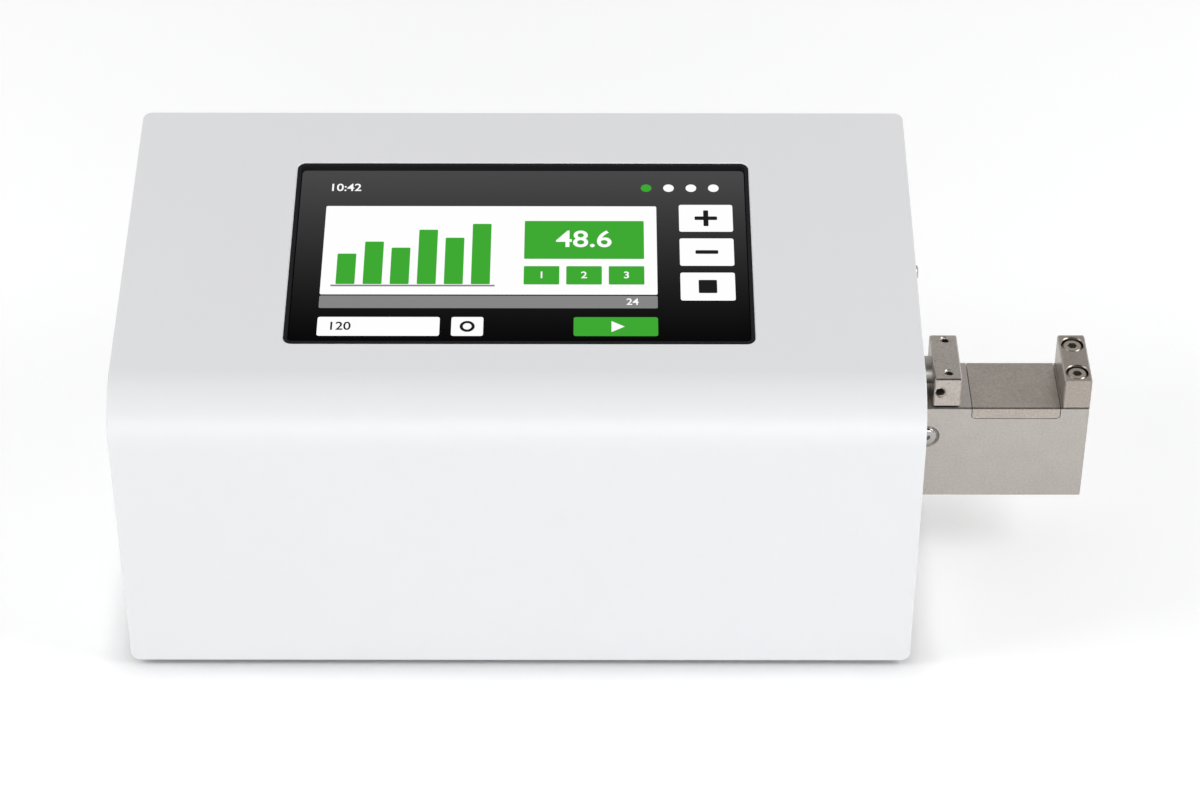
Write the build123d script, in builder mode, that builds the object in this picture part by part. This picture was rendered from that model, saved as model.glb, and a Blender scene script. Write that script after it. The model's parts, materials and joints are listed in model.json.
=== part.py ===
from build123d import *
import os
from math import cos, radians, sin, tan

# Tablet hardness tester: a motor-driven ram crushes a tablet between a moving and a fixed jaw.
# Millimetres. +X points to the jaws, +Y away from the operator, +Z up. The origin is on the bench,
# under the middle of the whole instrument, housing and anvil together.

# ---------------------------------------------------------------- driving dimensions
# Housing: a bent sheet makes the front and the top, flat panels close the sides.
housing_width = 276.0
housing_depth = 145.0
front_height = 113.4  # from the cover's lower edge to where the front and top planes would meet
top_slope = 9.14  # degrees, the top rises towards the back
bend_radius = 20.0
cover_corner = 3.3  # the four corners of the bent sheet
cover_edge = 0.4  # its outer rim, and the rim of the display's opening
cover_sheet = 2.0
side_sheet = 2.5
side_raise = 1.5  # the side panels end this far above the cover's lower edge
flange_width = 12.0
cleat_length = 20.0
cleat_leg = 8.0
cleat_sheet = 1.5
rear_sheet = 2.0
rear_inset = 4.0  # the rear panel lies this far inside the cover's rear edge
base_sheet = 4.0
foot_gap = 2.0  # bench to the cover's lower edge
foot_height = 6.0  # bench to the base plate
foot_diameter = 18.0
foot_taper = 1.5
foot_inset_x = 26.0
foot_inset_y = 22.0
seam = 0.2  # gap between sheet parts that meet edge to face
wall_gap = 0.5  # between the side panels and the upright plates inside

# Display in the top.
display_width = 161.2
display_height = 89.7
display_shift = 0.4  # to the right of the housing's middle
display_margin = 30.5  # from the virtual front corner up the slope
display_corner = 3.0
bezel_land = 1.3
bezel_drop = 0.3  # the bezel's face lies this far below the cover's top
bezel_clearance = 0.15
bezel_flange = 6.0
bezel_lip = 0.5  # behind the cover, between the land and the flange
bezel_flange_thickness = 2.9
glass_margin = 1.5  # the glass reaches this far under the opening's edge
glass_thickness = 1.5
lcd_thickness = 5.0
bracket_sheet = 1.5
stud_diameter = 4.0
stud_spacing = 186.0
processor_board_size = (100.0, 66.0)
processor_standoff = 6.0
board_sheet = 1.6

# Anvil block on the right, with the two jaws.
block_reach = 65.5  # from the housing's right wall to the block's free end
block_depth = 27.1
block_height = 40.2
block_top = 66.0
block_edge = 0.45  # chamfer along the top of the block and of the platform
block_wall_gap = 0.2
drive_y = 4.75  # middle of the block, the ram and the whole drive
jaw_thickness = 9.8
jaw_open_gap = 36.6
jaw_closed_gap = 0.6
fixed_jaw_height = 12.3
moving_jaw_height = 12.3
moving_jaw_depth = 26.5
moving_jaw_clearance = 0.5  # above the block's top
jaw_edge = 0.45  # chamfer of the jaws
hole_rim = 0.3  # countersink of the holes in the jaws
platform_start = 23.3  # from the housing's right wall
platform_length = 32.0
platform_thickness = 4.6
platform_clearance = 0.25
platform_corner = 1.0
seat_relief = (0.6, 0.25)  # depth and height of the slits under its front and back edges
jaw_screw_pitch = 16.4
jaw_hole_pitch = 19.4
jaw_hole_diameter = 3.3
jaw_hole_depth = 4.0
jaw_hole_shift = 0.5  # to the right of the jaw's middle
jaw_hole_back = 0.4  # behind the jaw's middle
set_screw_inset = 2.2
ram_socket = 5.2
ram_drop = 5.8  # ram axis below the moving jaw's top
tongue_length = 15.0
tongue_width = 12.0
tongue_height = 18.0
tongue_middle_z = 53.0
tongue_clearance = 0.15
block_screw_x = 7.8  # from the housing's right wall
block_screw_sink = 0.8

# Drive line inside the housing, set out leftwards from the right wall.
ram_diameter = 10.0
ram_spigot_diameter = 6.0  # the end that sits in the moving jaw
ram_stud_diameter = 6.0
ram_stud_length = 8.0
running_fit = 0.05  # radial clearance of what slides or turns
seat_fit = 0.02  # radial clearance of what is pressed or screwed in
plate_width = 60.0
plate_thickness = 12.0
left_plate_thickness = 8.0
plate_top_gap = 1.0
boss_width = 22.0
boss_height = 26.0
boss_middle_z = 49.0
bush_diameter = 16.0
bush_flange_diameter = 22.0
bush_flange = 3.0
wiper_diameter = 17.6
wiper_clearance = 0.4
travel_spare = 1.2
load_cell_length = 26.0
load_cell_height = 26.0
load_cell_thickness = 12.7
load_cell_slot = 2.0
carriage_length = 32.0
carriage_width = 18.0
carriage_foot_width = 32.0
carriage_foot = 6.0
carriage_upright = 14.0
carriage_screw_pitch = 25.0
screw_drop = 24.0  # lead screw axis below the ram axis
screw_diameter = 8.0
screw_lead = 2.0
journal_diameter = 6.0
nut_body_diameter = 10.2
nut_body_length = 15.0
nut_flange_diameter = 22.0
nut_flange = 3.5
nut_spare = 1.5
bearing_diameter = 19.0
bearing_width = 6.0
bearing_shoulder = 2.0
bearing_plate_width = 46.0
bearing_foot = 14.0
bearing_foot_thickness = 5.0
lock_nut_width = 3.5
lock_nut_size = 10.0
coupling_diameter = 20.0
hub_length = 10.0
coupling_jaw = 6.0
coupling_end_gap = 2.2
motor_size = 42.3
motor_length = 44.0
motor_boss_diameter = 22.0
motor_boss = 2.0
motor_screw_square = 31.0
motor_shaft_diameter = 5.0
motor_bracket_sheet = 4.0
motor_bracket_foot = 16.0
bed_thickness = 14.0
bed_tail = 4.0
rail_width = 15.0
rail_height = 8.0  # above the bed
rail_groove = 1.5
guide_block_width = 32.0
guide_block_length = 30.0
guide_block_bottom = 3.0
guide_block_top = 13.0
switch_size = (20.0, 6.4, 10.6)

# Electronics and rear fittings.
supply_size = (110.0, 28.0, 60.0)
supply_gap = 1.5
main_board_length = 105.0
main_board_height = 6.0  # above the base plate
main_board_edge_gap = 18.0
card_guide = (6.0, 2.0)  # width, and height above the board
network_socket_size = (16.0, 21.3, 13.5)
usb_socket_size = (14.5, 17.5, 15.6)
socket_stand = 0.5  # how far the sockets stand out of the rear panel
socket_clearance = 0.3
inlet_edge = 36.0  # from the left side panel's inner face to the middle of the mains inlet
inlet_middle_z = 38.0
inlet_flange = (50.0, 28.0, 2.5)
inlet_body = (28.0, 20.6, 20.0)
inlet_cavity = (24.4, 16.8, 17.0)
inlet_screw_pitch = 40.0
switch_middle_z = 84.0
rocker_frame = (22.0, 30.0, 1.8)
rocker_body = (19.0, 27.0, 18.0)
rocker_width = 15.0
rocker_radius = 11.5
rocker_tilt = 10.0
rocker_clearance = 0.4
vent_slot = (3.0, 26.0)
vent_pitch = 7.0
vent_count = 9

# Screws: thread diameter, length under the head, head diameter, head height, hexagon socket.
m4_cap = (4.0, 16.0, 7.0, 4.0, 3.0)
m3_button = (3.0, 8.0, 5.7, 1.65, 2.0)
m3_pan = (3.0, 6.0, 5.7, 1.65, 2.0)
m4_flat = (4.0, 12.3, 8.0, 2.2, 2.5)
m3_flat = (3.0, 7.0, 5.6, 1.6, 2.0)
# Hexagon-head screws: thread diameter, length, width across flats, head height.
m6_hex = (6.0, 20.0, 10.0, 4.0)
m5_hex = (5.0, 16.0, 8.0, 3.5)
# Hexagon heads that are one piece with what they hold: width across flats, head height.
m5_head = (8.0, 3.5)
m4_head = (7.0, 2.8)
m3_head = (5.5, 2.0)
jaw_counterbore = 8.0
jaw_counterbore_depth = 4.6
screw_hole = 0.2  # radial clearance of a through hole

# ---------------------------------------------------------------- places worked out from them
slope = radians(top_slope)
housing_middle = -block_reach / 2
left_wall = housing_middle - housing_width / 2
right_wall = housing_middle + housing_width / 2
front_y = -housing_depth / 2
rear_y = housing_depth / 2
inner_left = left_wall + side_sheet
inner_right = right_wall - side_sheet
inner_front = front_y + cover_sheet
corner_z = foot_gap + front_height
base_top = foot_height + base_sheet
bed_top = base_top + bed_thickness
beyond = 5.0  # how far a cut runs past the face it opens
block_left = right_wall + block_wall_gap
block_right = right_wall + block_reach
block_front = drive_y - block_depth / 2
block_back = drive_y + block_depth / 2
ram_z = block_top + moving_jaw_clearance + moving_jaw_height - ram_drop
screw_z = ram_z - screw_drop
fixed_jaw_left = block_right - jaw_thickness
moving_jaw_right = fixed_jaw_left - jaw_open_gap
moving_jaw_left = moving_jaw_right - jaw_thickness
moving_jaw_bottom = block_top + moving_jaw_clearance
stroke = jaw_open_gap - jaw_closed_gap
ram_radius = ram_diameter / 2
plate_right = inner_right - wall_gap
plate_left = plate_right - plate_thickness
load_cell_right = plate_left - bush_flange - travel_spare - stroke
load_cell_left = load_cell_right - load_cell_length
carriage_left = load_cell_left - carriage_length
nut_left = carriage_left - nut_flange
bearing_right = nut_left - nut_spare
bearing_left = bearing_right - bearing_shoulder - 2 * bearing_width
screw_hub_right = bearing_left - lock_nut_width - coupling_end_gap
spider_right = screw_hub_right - hub_length
spider_left = spider_right - coupling_jaw
motor_hub_left = spider_left - hub_length
bracket_right = motor_hub_left - coupling_end_gap
bracket_left = bracket_right - motor_bracket_sheet
motor_left = bracket_left - motor_length
bed_left = motor_left - bed_tail
left_plate_left = inner_left + wall_gap
left_plate_right = left_plate_left + left_plate_thickness
top_screw_y = drive_y - 2.25
panel_back = rear_y - rear_inset
panel_front = panel_back - rear_sheet
board_z = base_top + main_board_height
board_front = drive_y + plate_width / 2 + supply_gap
board_back = panel_front - seam
board_right = inner_right - main_board_edge_gap
board_left = board_right - main_board_length
inlet_x = inner_left + inlet_edge
rocker_y = panel_back - 3.7
rocker_place = (inlet_x, rocker_y, switch_middle_z)
top_normal = Vector(0, -sin(slope), cos(slope))


def top_z(y, below=0.0):
    """Height of the cover's top at y, or of a surface that lies below it, square to it."""
    return corner_z + (y - front_y) * tan(slope) - below / cos(slope)


top_screw_z = top_z(top_screw_y) - 9.7
display_middle_u = display_margin + display_height / 2
# Local x to the right, local y up the slope, local z out of the top.
top_plane = Plane(origin=(housing_middle, front_y, corner_z), x_dir=(1, 0, 0), z_dir=top_normal)
display_plane = Plane(
    origin=top_plane.from_local_coords((display_shift, display_middle_u, 0)),
    x_dir=(1, 0, 0),
    z_dir=top_normal,
)
low_align = (Align.CENTER, Align.CENTER, Align.MIN)
high_align = (Align.CENTER, Align.CENTER, Align.MAX)


# ---------------------------------------------------------------- helpers
def facing(direction, place):
    """A plane at a place whose local z looks along a direction."""
    return Plane(origin=place, z_dir=direction)


def slab(low, high, mode=Mode.ADD):
    """A block between its lowest and its highest corner."""
    with Locations(low):
        Box(*(b - a for a, b in zip(low, high)), align=(Align.MIN,) * 3, mode=mode)


def bar_x(radius, start, end, y, z, mode=Mode.ADD):
    """A round bar or a bore along X."""
    with Locations(facing((1, 0, 0), (start, y, z))):
        Cylinder(radius, end - start, align=low_align, mode=mode)


def bore(radius, depth, place, direction):
    """A blind hole that goes into the material against a direction."""
    with Locations(facing(direction, place)):
        Cylinder(radius, depth, align=high_align, mode=Mode.SUBTRACT)


def countersink(low_radius, high_radius, depth, place, direction):
    """A conical mouth that narrows into the material."""
    with Locations(facing(direction, place)):
        Cone(low_radius, high_radius, depth, align=high_align, mode=Mode.SUBTRACT)


def rimmed_bore(radius, depth, place, direction):
    """A blind hole with a small countersink at its mouth."""
    bore(radius, depth, place, direction)
    countersink(radius, radius + hole_rim, hole_rim, place, direction)


def sunk_bore(screw, depth, place, direction, sink=0.0):
    """A countersunk through hole. The screw's head may lie some way below its mouth."""
    thread, _, head, head_height, _ = screw
    bore(thread / 2 + seat_fit, depth, place, direction)
    slant = (head - thread) / 2 / head_height
    countersink(
        thread / 2 + seat_fit,
        head / 2 + seat_fit + sink * slant,
        head_height + sink,
        place,
        direction,
    )


def socket_cut(height, hexagon, depth):
    """The hexagon socket in a screw's head, whose top is at a height."""
    with BuildSketch(Plane.XY.offset(height)) as socket:
        RegularPolygon(hexagon / 2, 6, major_radius=False)
    extrude(socket.sketch, amount=-depth, mode=Mode.SUBTRACT)


def cap_screw(size, edge=0.0):
    """A cylinder-head screw: its seat at z = 0, its head above, its shank below."""
    thread, length, head, head_height, hexagon = size
    with BuildPart() as screw:
        Cylinder(head / 2, head_height, align=low_align)
        if edge:
            chamfer(screw.edges().group_by(Axis.Z)[-1], edge)
        Cylinder(thread / 2, length, align=high_align)
        socket_cut(head_height, hexagon, head_height / 2)
    return screw.part


def button_screw(size):
    """A round-head screw: its seat at z = 0."""
    thread, length, head, head_height, hexagon = size
    with BuildPart() as screw:
        Cylinder(head / 2, head_height, align=low_align)
        chamfer(screw.edges().group_by(Axis.Z)[-1], head_height * 0.6, head_height * 0.75)
        Cylinder(thread / 2, length, align=high_align)
        socket_cut(head_height, hexagon, head_height * 0.6)
    return screw.part


def hex_screw(size):
    """A hexagon-head screw: its seat at z = 0."""
    thread, length, flats, head_height = size
    with BuildPart() as screw:
        with BuildSketch():
            RegularPolygon(flats / 2, 6, major_radius=False)
        extrude(amount=head_height)
        Cylinder(thread / 2, length, align=high_align)
    return screw.part


def flat_screw(size):
    """A countersunk screw: the face of its head at z = 0."""
    thread, length, head, head_height, hexagon = size
    with BuildPart() as screw:
        Cylinder(thread / 2, length, align=high_align)
        Cone(thread / 2, head / 2, head_height, align=high_align)
        socket_cut(0, hexagon, head_height * 0.6)
    return screw.part


def fused_heads(head, plane, places):
    """Hexagon heads of screws, one piece with the part they hold."""
    flats, height = head
    with BuildSketch(plane) as outlines:
        with Locations(*places):
            RegularPolygon(flats / 2, 6, major_radius=False)
    extrude(outlines.sketch, amount=height)


def set_out(shape, places):
    """One node of identical pieces, a copy at each place."""
    with BuildPart() as group:
        with Locations(*places):
            add(shape)
    return group


def shell_profile(inset, low, back):
    """The housing's side outline, drawn inset by a wall, from its lower edge to its back."""
    front = front_y + inset
    corner = (front, top_z(front, inset))
    with BuildLine() as outline:
        Polyline((front, low), corner, (back, top_z(back, inset)), (back, low), close=True)
    make_face(outline.edges())
    fillet(vertices().sort_by_distance(corner)[0], bend_radius - inset)


def upright_profile():
    """The outline of an upright plate: it stands on the base plate and follows the sloping top."""
    near = drive_y - plate_width / 2
    far = drive_y + plate_width / 2
    below = cover_sheet + plate_top_gap
    with BuildLine() as outline:
        Polyline(
            (near, base_top),
            (near, top_z(near, below)),
            (far, top_z(far, below)),
            (far, base_top),
            close=True,
        )
    make_face(outline.edges())


# ---------------------------------------------------------------- places of the screws
base_screw_places = [
    (x, y)
    for x in (inner_left + flange_width / 2, inner_right - flange_width / 2)
    for y in (front_y + 24.0, rear_y - 24.0)
]
base_screw_places += [(x, drive_y) for x in (bed_left + 14.0, bearing_right + 8.0)]
base_screw_places += [(left_plate_left + left_plate_thickness / 2, drive_y)]
foot_places = [
    (x, y, foot_height)
    for x in (left_wall + foot_inset_x, right_wall - foot_inset_x)
    for y in (front_y + foot_inset_y, rear_y - foot_inset_y)
]
rear_screw_places = [
    (x, panel_back, z)
    for x in (inner_left + flange_width / 2, inner_right - flange_width / 2)
    for z in (base_top + 16.0, top_z(panel_front, cover_sheet) - 14.0)
]
bed_end_x = plate_right - m5_hex[3] - 1.0
bed_end_places = [
    (bed_end_x, drive_y + side * plate_width / 4, base_top + bed_thickness / 2) for side in (-1, 1)
]
foot_screw_spread = 15.0
bearing_screw_x = bearing_left - bearing_foot / 2
bracket_screw_x = bracket_right + motor_bracket_foot - 6.0
side_screw_place = facing((1, 0, 0), (right_wall, top_screw_y, top_screw_z))
stud_places = [(-stud_spacing / 2, 0), (stud_spacing / 2, 0)]

# ---------------------------------------------------------------- housing
# The cover is bent from one sheet: the front turns through the bend into the sloping top.
with BuildPart() as front_top_cover:
    with BuildSketch(Plane.YZ.offset(left_wall)):
        shell_profile(0.0, foot_gap, rear_y)
    extrude(amount=housing_width)
    with BuildSketch(Plane.YZ.offset(left_wall)):
        shell_profile(cover_sheet, foot_gap - beyond, rear_y + beyond)
    extrude(amount=housing_width, mode=Mode.SUBTRACT)
    lower_corners = front_top_cover.edges().filter_by(Axis.Y).group_by(Axis.Z)[0]
    rear_corners = front_top_cover.edges().filter_by(Axis.Z).group_by(Axis.Y)[-1]
    fillet(lower_corners + rear_corners, cover_corner)
    # The rim of the outer skin, without the two lines where the bend runs into the flats.
    front_face = front_top_cover.faces().sort_by(Axis.Y)[0]
    bend_face = front_top_cover.faces().filter_by(GeomType.CYLINDER).sort_by(SortBy.AREA)[-1]
    top_face = front_top_cover.faces().filter_by(top_plane).sort_by(Axis.Z)[-1]
    bend_lines = [edge.center() for edge in bend_face.edges().filter_by(Axis.X)]
    rim = [
        edge
        for edge in front_face.edges() + bend_face.edges() + top_face.edges()
        if min((edge.center() - line).length for line in bend_lines) > 0.01
    ]
    fillet(rim, cover_edge)
    # Opening for the display, and the two welded studs that carry it.
    with BuildSketch(display_plane):
        RectangleRounded(display_width, display_height, display_corner)
    extrude(amount=-(cover_sheet + beyond), mode=Mode.SUBTRACT)
    opened_face = front_top_cover.faces().filter_by(top_plane).sort_by(Axis.Z)[-1]
    chamfer(opened_face.inner_wires()[0].edges(), cover_edge)
    stud_length = bezel_lip + glass_thickness + lcd_thickness + bracket_sheet + 3.0
    with BuildSketch(display_plane.offset(-cover_sheet)):
        with Locations(*stud_places):
            Circle(stud_diameter / 2)
    extrude(amount=-stud_length)


def side_blank(outer, inward):
    """A side panel with a flange on the base plate and one in front of the rear panel."""
    inner = outer + inward * side_sheet
    near, far = sorted((outer, inner))
    low_x, high_x = sorted((inner, inner + inward * flange_width))
    flange_top = top_z(panel_front - side_sheet, cover_sheet + seam)
    with BuildPart() as blank:
        with BuildSketch(Plane.YZ.offset(near)):
            shell_profile(cover_sheet + seam, foot_gap + side_raise, rear_y)
        extrude(amount=far - near)
        slab((low_x, panel_front - side_sheet, base_top), (high_x, panel_front, flange_top))
        for start, end in (
            (front_y + flange_width, drive_y - plate_width / 2 - wall_gap),
            (drive_y + plate_width / 2 + wall_gap, panel_front - side_sheet),
        ):
            slab((low_x, start, base_top), (high_x, end, base_top + side_sheet))
        for x, _, z in rear_screw_places:
            bore(m3_pan[0] / 2 + seat_fit, side_sheet, (x, panel_front, z), (0, 1, 0))
    return blank.part


with BuildPart() as left_side_panel:
    add(side_blank(left_wall, 1))

# The right panel has a window for the guide plate's boss and a round hole for the ram.
with BuildPart() as right_side_panel:
    add(side_blank(right_wall, -1))
    slab(
        (
            inner_right - 1,
            drive_y - boss_width / 2 - seam,
            boss_middle_z - boss_height / 2 - seam,
        ),
        (
            right_wall + 1,
            drive_y + boss_width / 2 + seam,
            boss_middle_z + boss_height / 2 + seam,
        ),
        Mode.SUBTRACT,
    )
    bar_x(
        wiper_diameter / 2 + seam, inner_right - 1, right_wall + 1, drive_y, ram_z, Mode.SUBTRACT
    )
    with Locations(side_screw_place):
        Cylinder(m3_button[0] / 2 + screw_hole, side_sheet, align=high_align, mode=Mode.SUBTRACT)

# Small angles, welded in the corners, join the cover to the side panels.
with BuildPart() as cover_cleats:
    for x, side in ((inner_left, Align.MIN), (inner_right, Align.MAX)):
        for y in (front_y + 30.0, panel_front - 16.0):
            with Locations(
                Plane(origin=(x, y, top_z(y, cover_sheet)), x_dir=(1, 0, 0), z_dir=top_normal)
            ):
                Box(cleat_leg, cleat_length, cleat_sheet, align=(side, Align.CENTER, Align.MAX))
                Box(cleat_sheet, cleat_length, cleat_leg, align=(side, Align.CENTER, Align.MAX))
        with Locations((x, inner_front, base_top + cleat_length * 2)):
            Box(cleat_leg, cleat_sheet, cleat_length, align=(side, Align.MIN, Align.CENTER))
            Box(cleat_sheet, cleat_leg, cleat_length, align=(side, Align.MIN, Align.CENTER))

# The base plate closes the housing from below and carries everything inside. The heads of the
# screws that hold the side flanges, the drive bed and the left end plate are part of it.
with BuildPart() as base_plate:
    slab(
        (inner_left + seam, inner_front + seam, foot_height),
        (inner_right - seam, panel_back, base_top),
    )
    fused_heads(m4_head, Plane.XY.offset(foot_height - m4_head[1]), base_screw_places)

with BuildPart() as rubber_feet:
    with Locations(*foot_places):
        Cone(foot_diameter / 2 - foot_taper, foot_diameter / 2, foot_height, align=high_align)

side_screw = set_out(button_screw(m3_button), [side_screw_place])
rear_screws = set_out(
    cap_screw(m3_pan), [facing((0, 1, 0), place) for place in rear_screw_places]
)

# Rear panel with the cut-outs for its fittings and a row of vent slots.
network_x = board_right - 30.0
usb_x = network_x - 32.0
inlet_screw_places = [
    (inlet_x + side * inlet_screw_pitch / 2, panel_back + inlet_flange[2], inlet_middle_z)
    for side in (-1, 1)
]
vent_middle = (housing_middle + 10.0, top_z(panel_back, cover_sheet) - 34.0)
with BuildPart() as rear_panel:
    slab(
        (inner_left + seam, panel_front, base_top + seam),
        (inner_right - seam, panel_back, top_z(panel_front, cover_sheet + seam)),
    )
    with BuildSketch(Plane.XZ.offset(-panel_back)):
        with Locations((inlet_x, inlet_middle_z)):
            Rectangle(inlet_body[0] + socket_clearance, inlet_body[1] + socket_clearance)
        with Locations((inlet_x, switch_middle_z)):
            Rectangle(rocker_body[0] + socket_clearance, rocker_body[1] + socket_clearance)
        for x, size in ((network_x, network_socket_size), (usb_x, usb_socket_size)):
            with Locations((x, board_z + board_sheet + size[2] / 2)):
                Rectangle(size[0] + 2 * socket_clearance, size[2] + 2 * socket_clearance)
        with Locations(vent_middle):
            with GridLocations(vent_pitch, 1, vent_count, 1):
                Rectangle(*vent_slot)
    extrude(amount=rear_sheet, mode=Mode.SUBTRACT)
    for place in rear_screw_places:
        bore(m3_pan[0] / 2 + screw_hole, rear_sheet, place, (0, 1, 0))
    for x, _, z in inlet_screw_places:
        bore(m3_flat[0] / 2 + seat_fit, rear_sheet, (x, panel_back, z), (0, 1, 0))

# ---------------------------------------------------------------- display
lip_top = cover_sheet + seam / 2
glass_top = lip_top + bezel_lip
lcd_top = glass_top + glass_thickness
lcd_back = lcd_top + lcd_thickness
bracket_back = lcd_back + bracket_sheet
processor_top = bracket_back + processor_standoff
bezel_pocket = (display_width + 2 * glass_margin + seam, display_height + 2 * glass_margin + seam)

# The bezel lines the opening's edge. A thin lip joins that land to the flange behind the cover,
# and the glass lies against the lip, in the flange's pocket.
with BuildPart() as display_bezel:
    with BuildSketch(display_plane.offset(-bezel_drop)):
        RectangleRounded(
            display_width - 2 * bezel_clearance,
            display_height - 2 * bezel_clearance,
            display_corner - bezel_clearance,
        )
    extrude(amount=-(lip_top - bezel_drop))
    with BuildSketch(display_plane.offset(-lip_top)):
        RectangleRounded(
            display_width + 2 * bezel_flange,
            display_height + 2 * bezel_flange,
            display_corner,
        )
    extrude(amount=-bezel_flange_thickness)
    with BuildSketch(display_plane):
        RectangleRounded(
            display_width - 2 * bezel_land,
            display_height - 2 * bezel_land,
            display_corner - bezel_land,
        )
    extrude(amount=-(glass_top + beyond), mode=Mode.SUBTRACT)
    with BuildSketch(display_plane.offset(-glass_top)):
        Rectangle(*bezel_pocket)
    extrude(amount=-(bezel_flange_thickness + beyond), mode=Mode.SUBTRACT)

with BuildPart() as touch_glass:
    with BuildSketch(display_plane.offset(-glass_top)):
        Rectangle(display_width + 2 * glass_margin, display_height + 2 * glass_margin)
    extrude(amount=-glass_thickness)

# The panel's case sits in the same pocket, on the back of the glass.
with BuildPart() as lcd_module:
    with BuildSketch(display_plane.offset(-lcd_top)):
        Rectangle(display_width + glass_margin, display_height + glass_margin)
    extrude(amount=-lcd_thickness)
    with BuildSketch(display_plane.offset(-lcd_back)):
        Rectangle(display_width - 20, display_height - 20)
    extrude(amount=0.8, mode=Mode.SUBTRACT)

# A sheet holds the panel from behind. The processor board stands on its two folded ribs.
with BuildPart() as display_bracket:
    with BuildSketch(display_plane.offset(-lcd_back)):
        Rectangle(stud_spacing + 8, processor_board_size[1] + 6)
        with Locations(*stud_places):
            Circle(stud_diameter / 2 + screw_hole, mode=Mode.SUBTRACT)
    extrude(amount=-bracket_sheet)
    with BuildSketch(display_plane.offset(-bracket_back)):
        with GridLocations(processor_board_size[0] - 6, 1, 2, 1):
            Rectangle(bracket_sheet, processor_board_size[1])
    extrude(amount=-processor_standoff)

with BuildPart() as nut_shape:
    with BuildSketch():
        RegularPolygon(3.5, 6, major_radius=False)
        Circle(stud_diameter / 2 + seat_fit, mode=Mode.SUBTRACT)
    extrude(amount=2.4)
display_nuts = set_out(
    nut_shape.part,
    [
        Plane(
            origin=display_plane.from_local_coords((x, u, -bracket_back)),
            x_dir=(1, 0, 0),
            z_dir=-top_normal,
        )
        for x, u in stud_places
    ],
)

with BuildPart() as processor_board:
    with BuildSketch(display_plane.offset(-processor_top)):
        Rectangle(*processor_board_size)
    extrude(amount=-board_sheet)
    with BuildSketch(display_plane.offset(-(processor_top + board_sheet))):
        Rectangle(18, 18)
        with Locations((30, 12), (30, -12)):
            Rectangle(14, 10)
    extrude(amount=-2.0)
    with BuildSketch(display_plane.offset(-(processor_top + board_sheet))):
        with Locations((-38, 0)):
            Rectangle(9, 44)
    extrude(amount=-6.0)

# ---------------------------------------------------------------- anvil
tongue_right = block_left + tongue_length
block_screw_places = [
    facing((0, -1, 0), (right_wall + block_screw_x, block_front, tongue_middle_z)),
    facing((0, 1, 0), (right_wall + block_screw_x, block_back, tongue_middle_z)),
]
platform_left = right_wall + platform_start
platform_right = platform_left + platform_length
platform_bottom = block_top - platform_thickness
fixed_jaw_middle = (fixed_jaw_left + block_right) / 2
jaw_screw_places = [
    (fixed_jaw_middle, drive_y - jaw_screw_pitch / 2),
    (fixed_jaw_middle, drive_y + jaw_screw_pitch / 2),
]

# The block hangs on the guide plate's tongue. Its top has a full-width pocket for the platform.
with BuildPart() as anvil_block:
    with BuildSketch(Plane.XZ.offset(-block_back)):
        with BuildLine():
            Polyline(
                (block_left, block_top - block_height),
                (block_left, block_top),
                (platform_left, block_top),
                (platform_left, platform_bottom),
                (platform_right, platform_bottom),
                (platform_right, block_top),
                (block_right, block_top),
                (block_right, block_top - block_height),
                close=True,
            )
        make_face()
        for x in (platform_left, platform_right):
            fillet(
                vertices().sort_by_distance((x, platform_bottom))[0],
                platform_corner,
            )
    extrude(amount=block_depth)
    chamfer(anvil_block.edges().filter_by(Axis.Z).group_by(Axis.X)[-1], block_edge)
    chamfer(anvil_block.edges().filter_by(Axis.X).group_by(Axis.Z)[-1], block_edge)
    slab(
        (
            block_left - beyond,
            drive_y - tongue_width / 2 - tongue_clearance,
            tongue_middle_z - tongue_height / 2 - tongue_clearance,
        ),
        (
            tongue_right + 2 * tongue_clearance,
            drive_y + tongue_width / 2 + tongue_clearance,
            tongue_middle_z + tongue_height / 2 + tongue_clearance,
        ),
        Mode.SUBTRACT,
    )
    for start, end in (
        (block_front - beyond, block_front + seat_relief[0]),
        (block_back - seat_relief[0], block_back + beyond),
    ):
        slab(
            (platform_left + platform_corner, start, platform_bottom - seat_relief[1]),
            (platform_right - platform_corner, end, platform_bottom + beyond),
            Mode.SUBTRACT,
        )
    for place in block_screw_places:
        sunk_bore(m4_flat, m4_flat[1] + 1.0, place.origin, place.z_dir, block_screw_sink)
    for x, y in jaw_screw_places:
        bore(m4_cap[0] / 2 + seat_fit, m4_cap[1], (x, y, block_top), (0, 0, 1))

# The tablet lies on this hardened insert, flush with the block.
with BuildPart() as tablet_platform:
    with BuildSketch(Plane.XZ.offset(-block_back)):
        with Locations(((platform_left + platform_right) / 2, block_top)):
            Rectangle(
                platform_length - 2 * platform_clearance,
                platform_thickness,
                align=(Align.CENTER, Align.MAX),
            )
        fillet(vertices().group_by(Axis.Y)[0], platform_corner)
    extrude(amount=block_depth)
    chamfer(tablet_platform.edges().filter_by(Axis.X).group_by(Axis.Z)[-1], block_edge)

fixed_jaw_top = block_top + fixed_jaw_height
with BuildPart() as fixed_jaw:
    slab((fixed_jaw_left, block_front, block_top), (block_right, block_back, fixed_jaw_top))
    top_sides = fixed_jaw.edges().filter_by(Axis.Y).group_by(Axis.Z)[-1]
    bottom_rim = fixed_jaw.edges().group_by(Axis.Z)[0]
    chamfer(fixed_jaw.edges().filter_by(Axis.Z) + top_sides + bottom_rim, jaw_edge)
    for x, y in jaw_screw_places:
        rimmed_bore(jaw_counterbore / 2, jaw_counterbore_depth, (x, y, fixed_jaw_top), (0, 0, 1))
        bore(m4_cap[0] / 2 + screw_hole, fixed_jaw_height, (x, y, fixed_jaw_top), (0, 0, 1))

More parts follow.
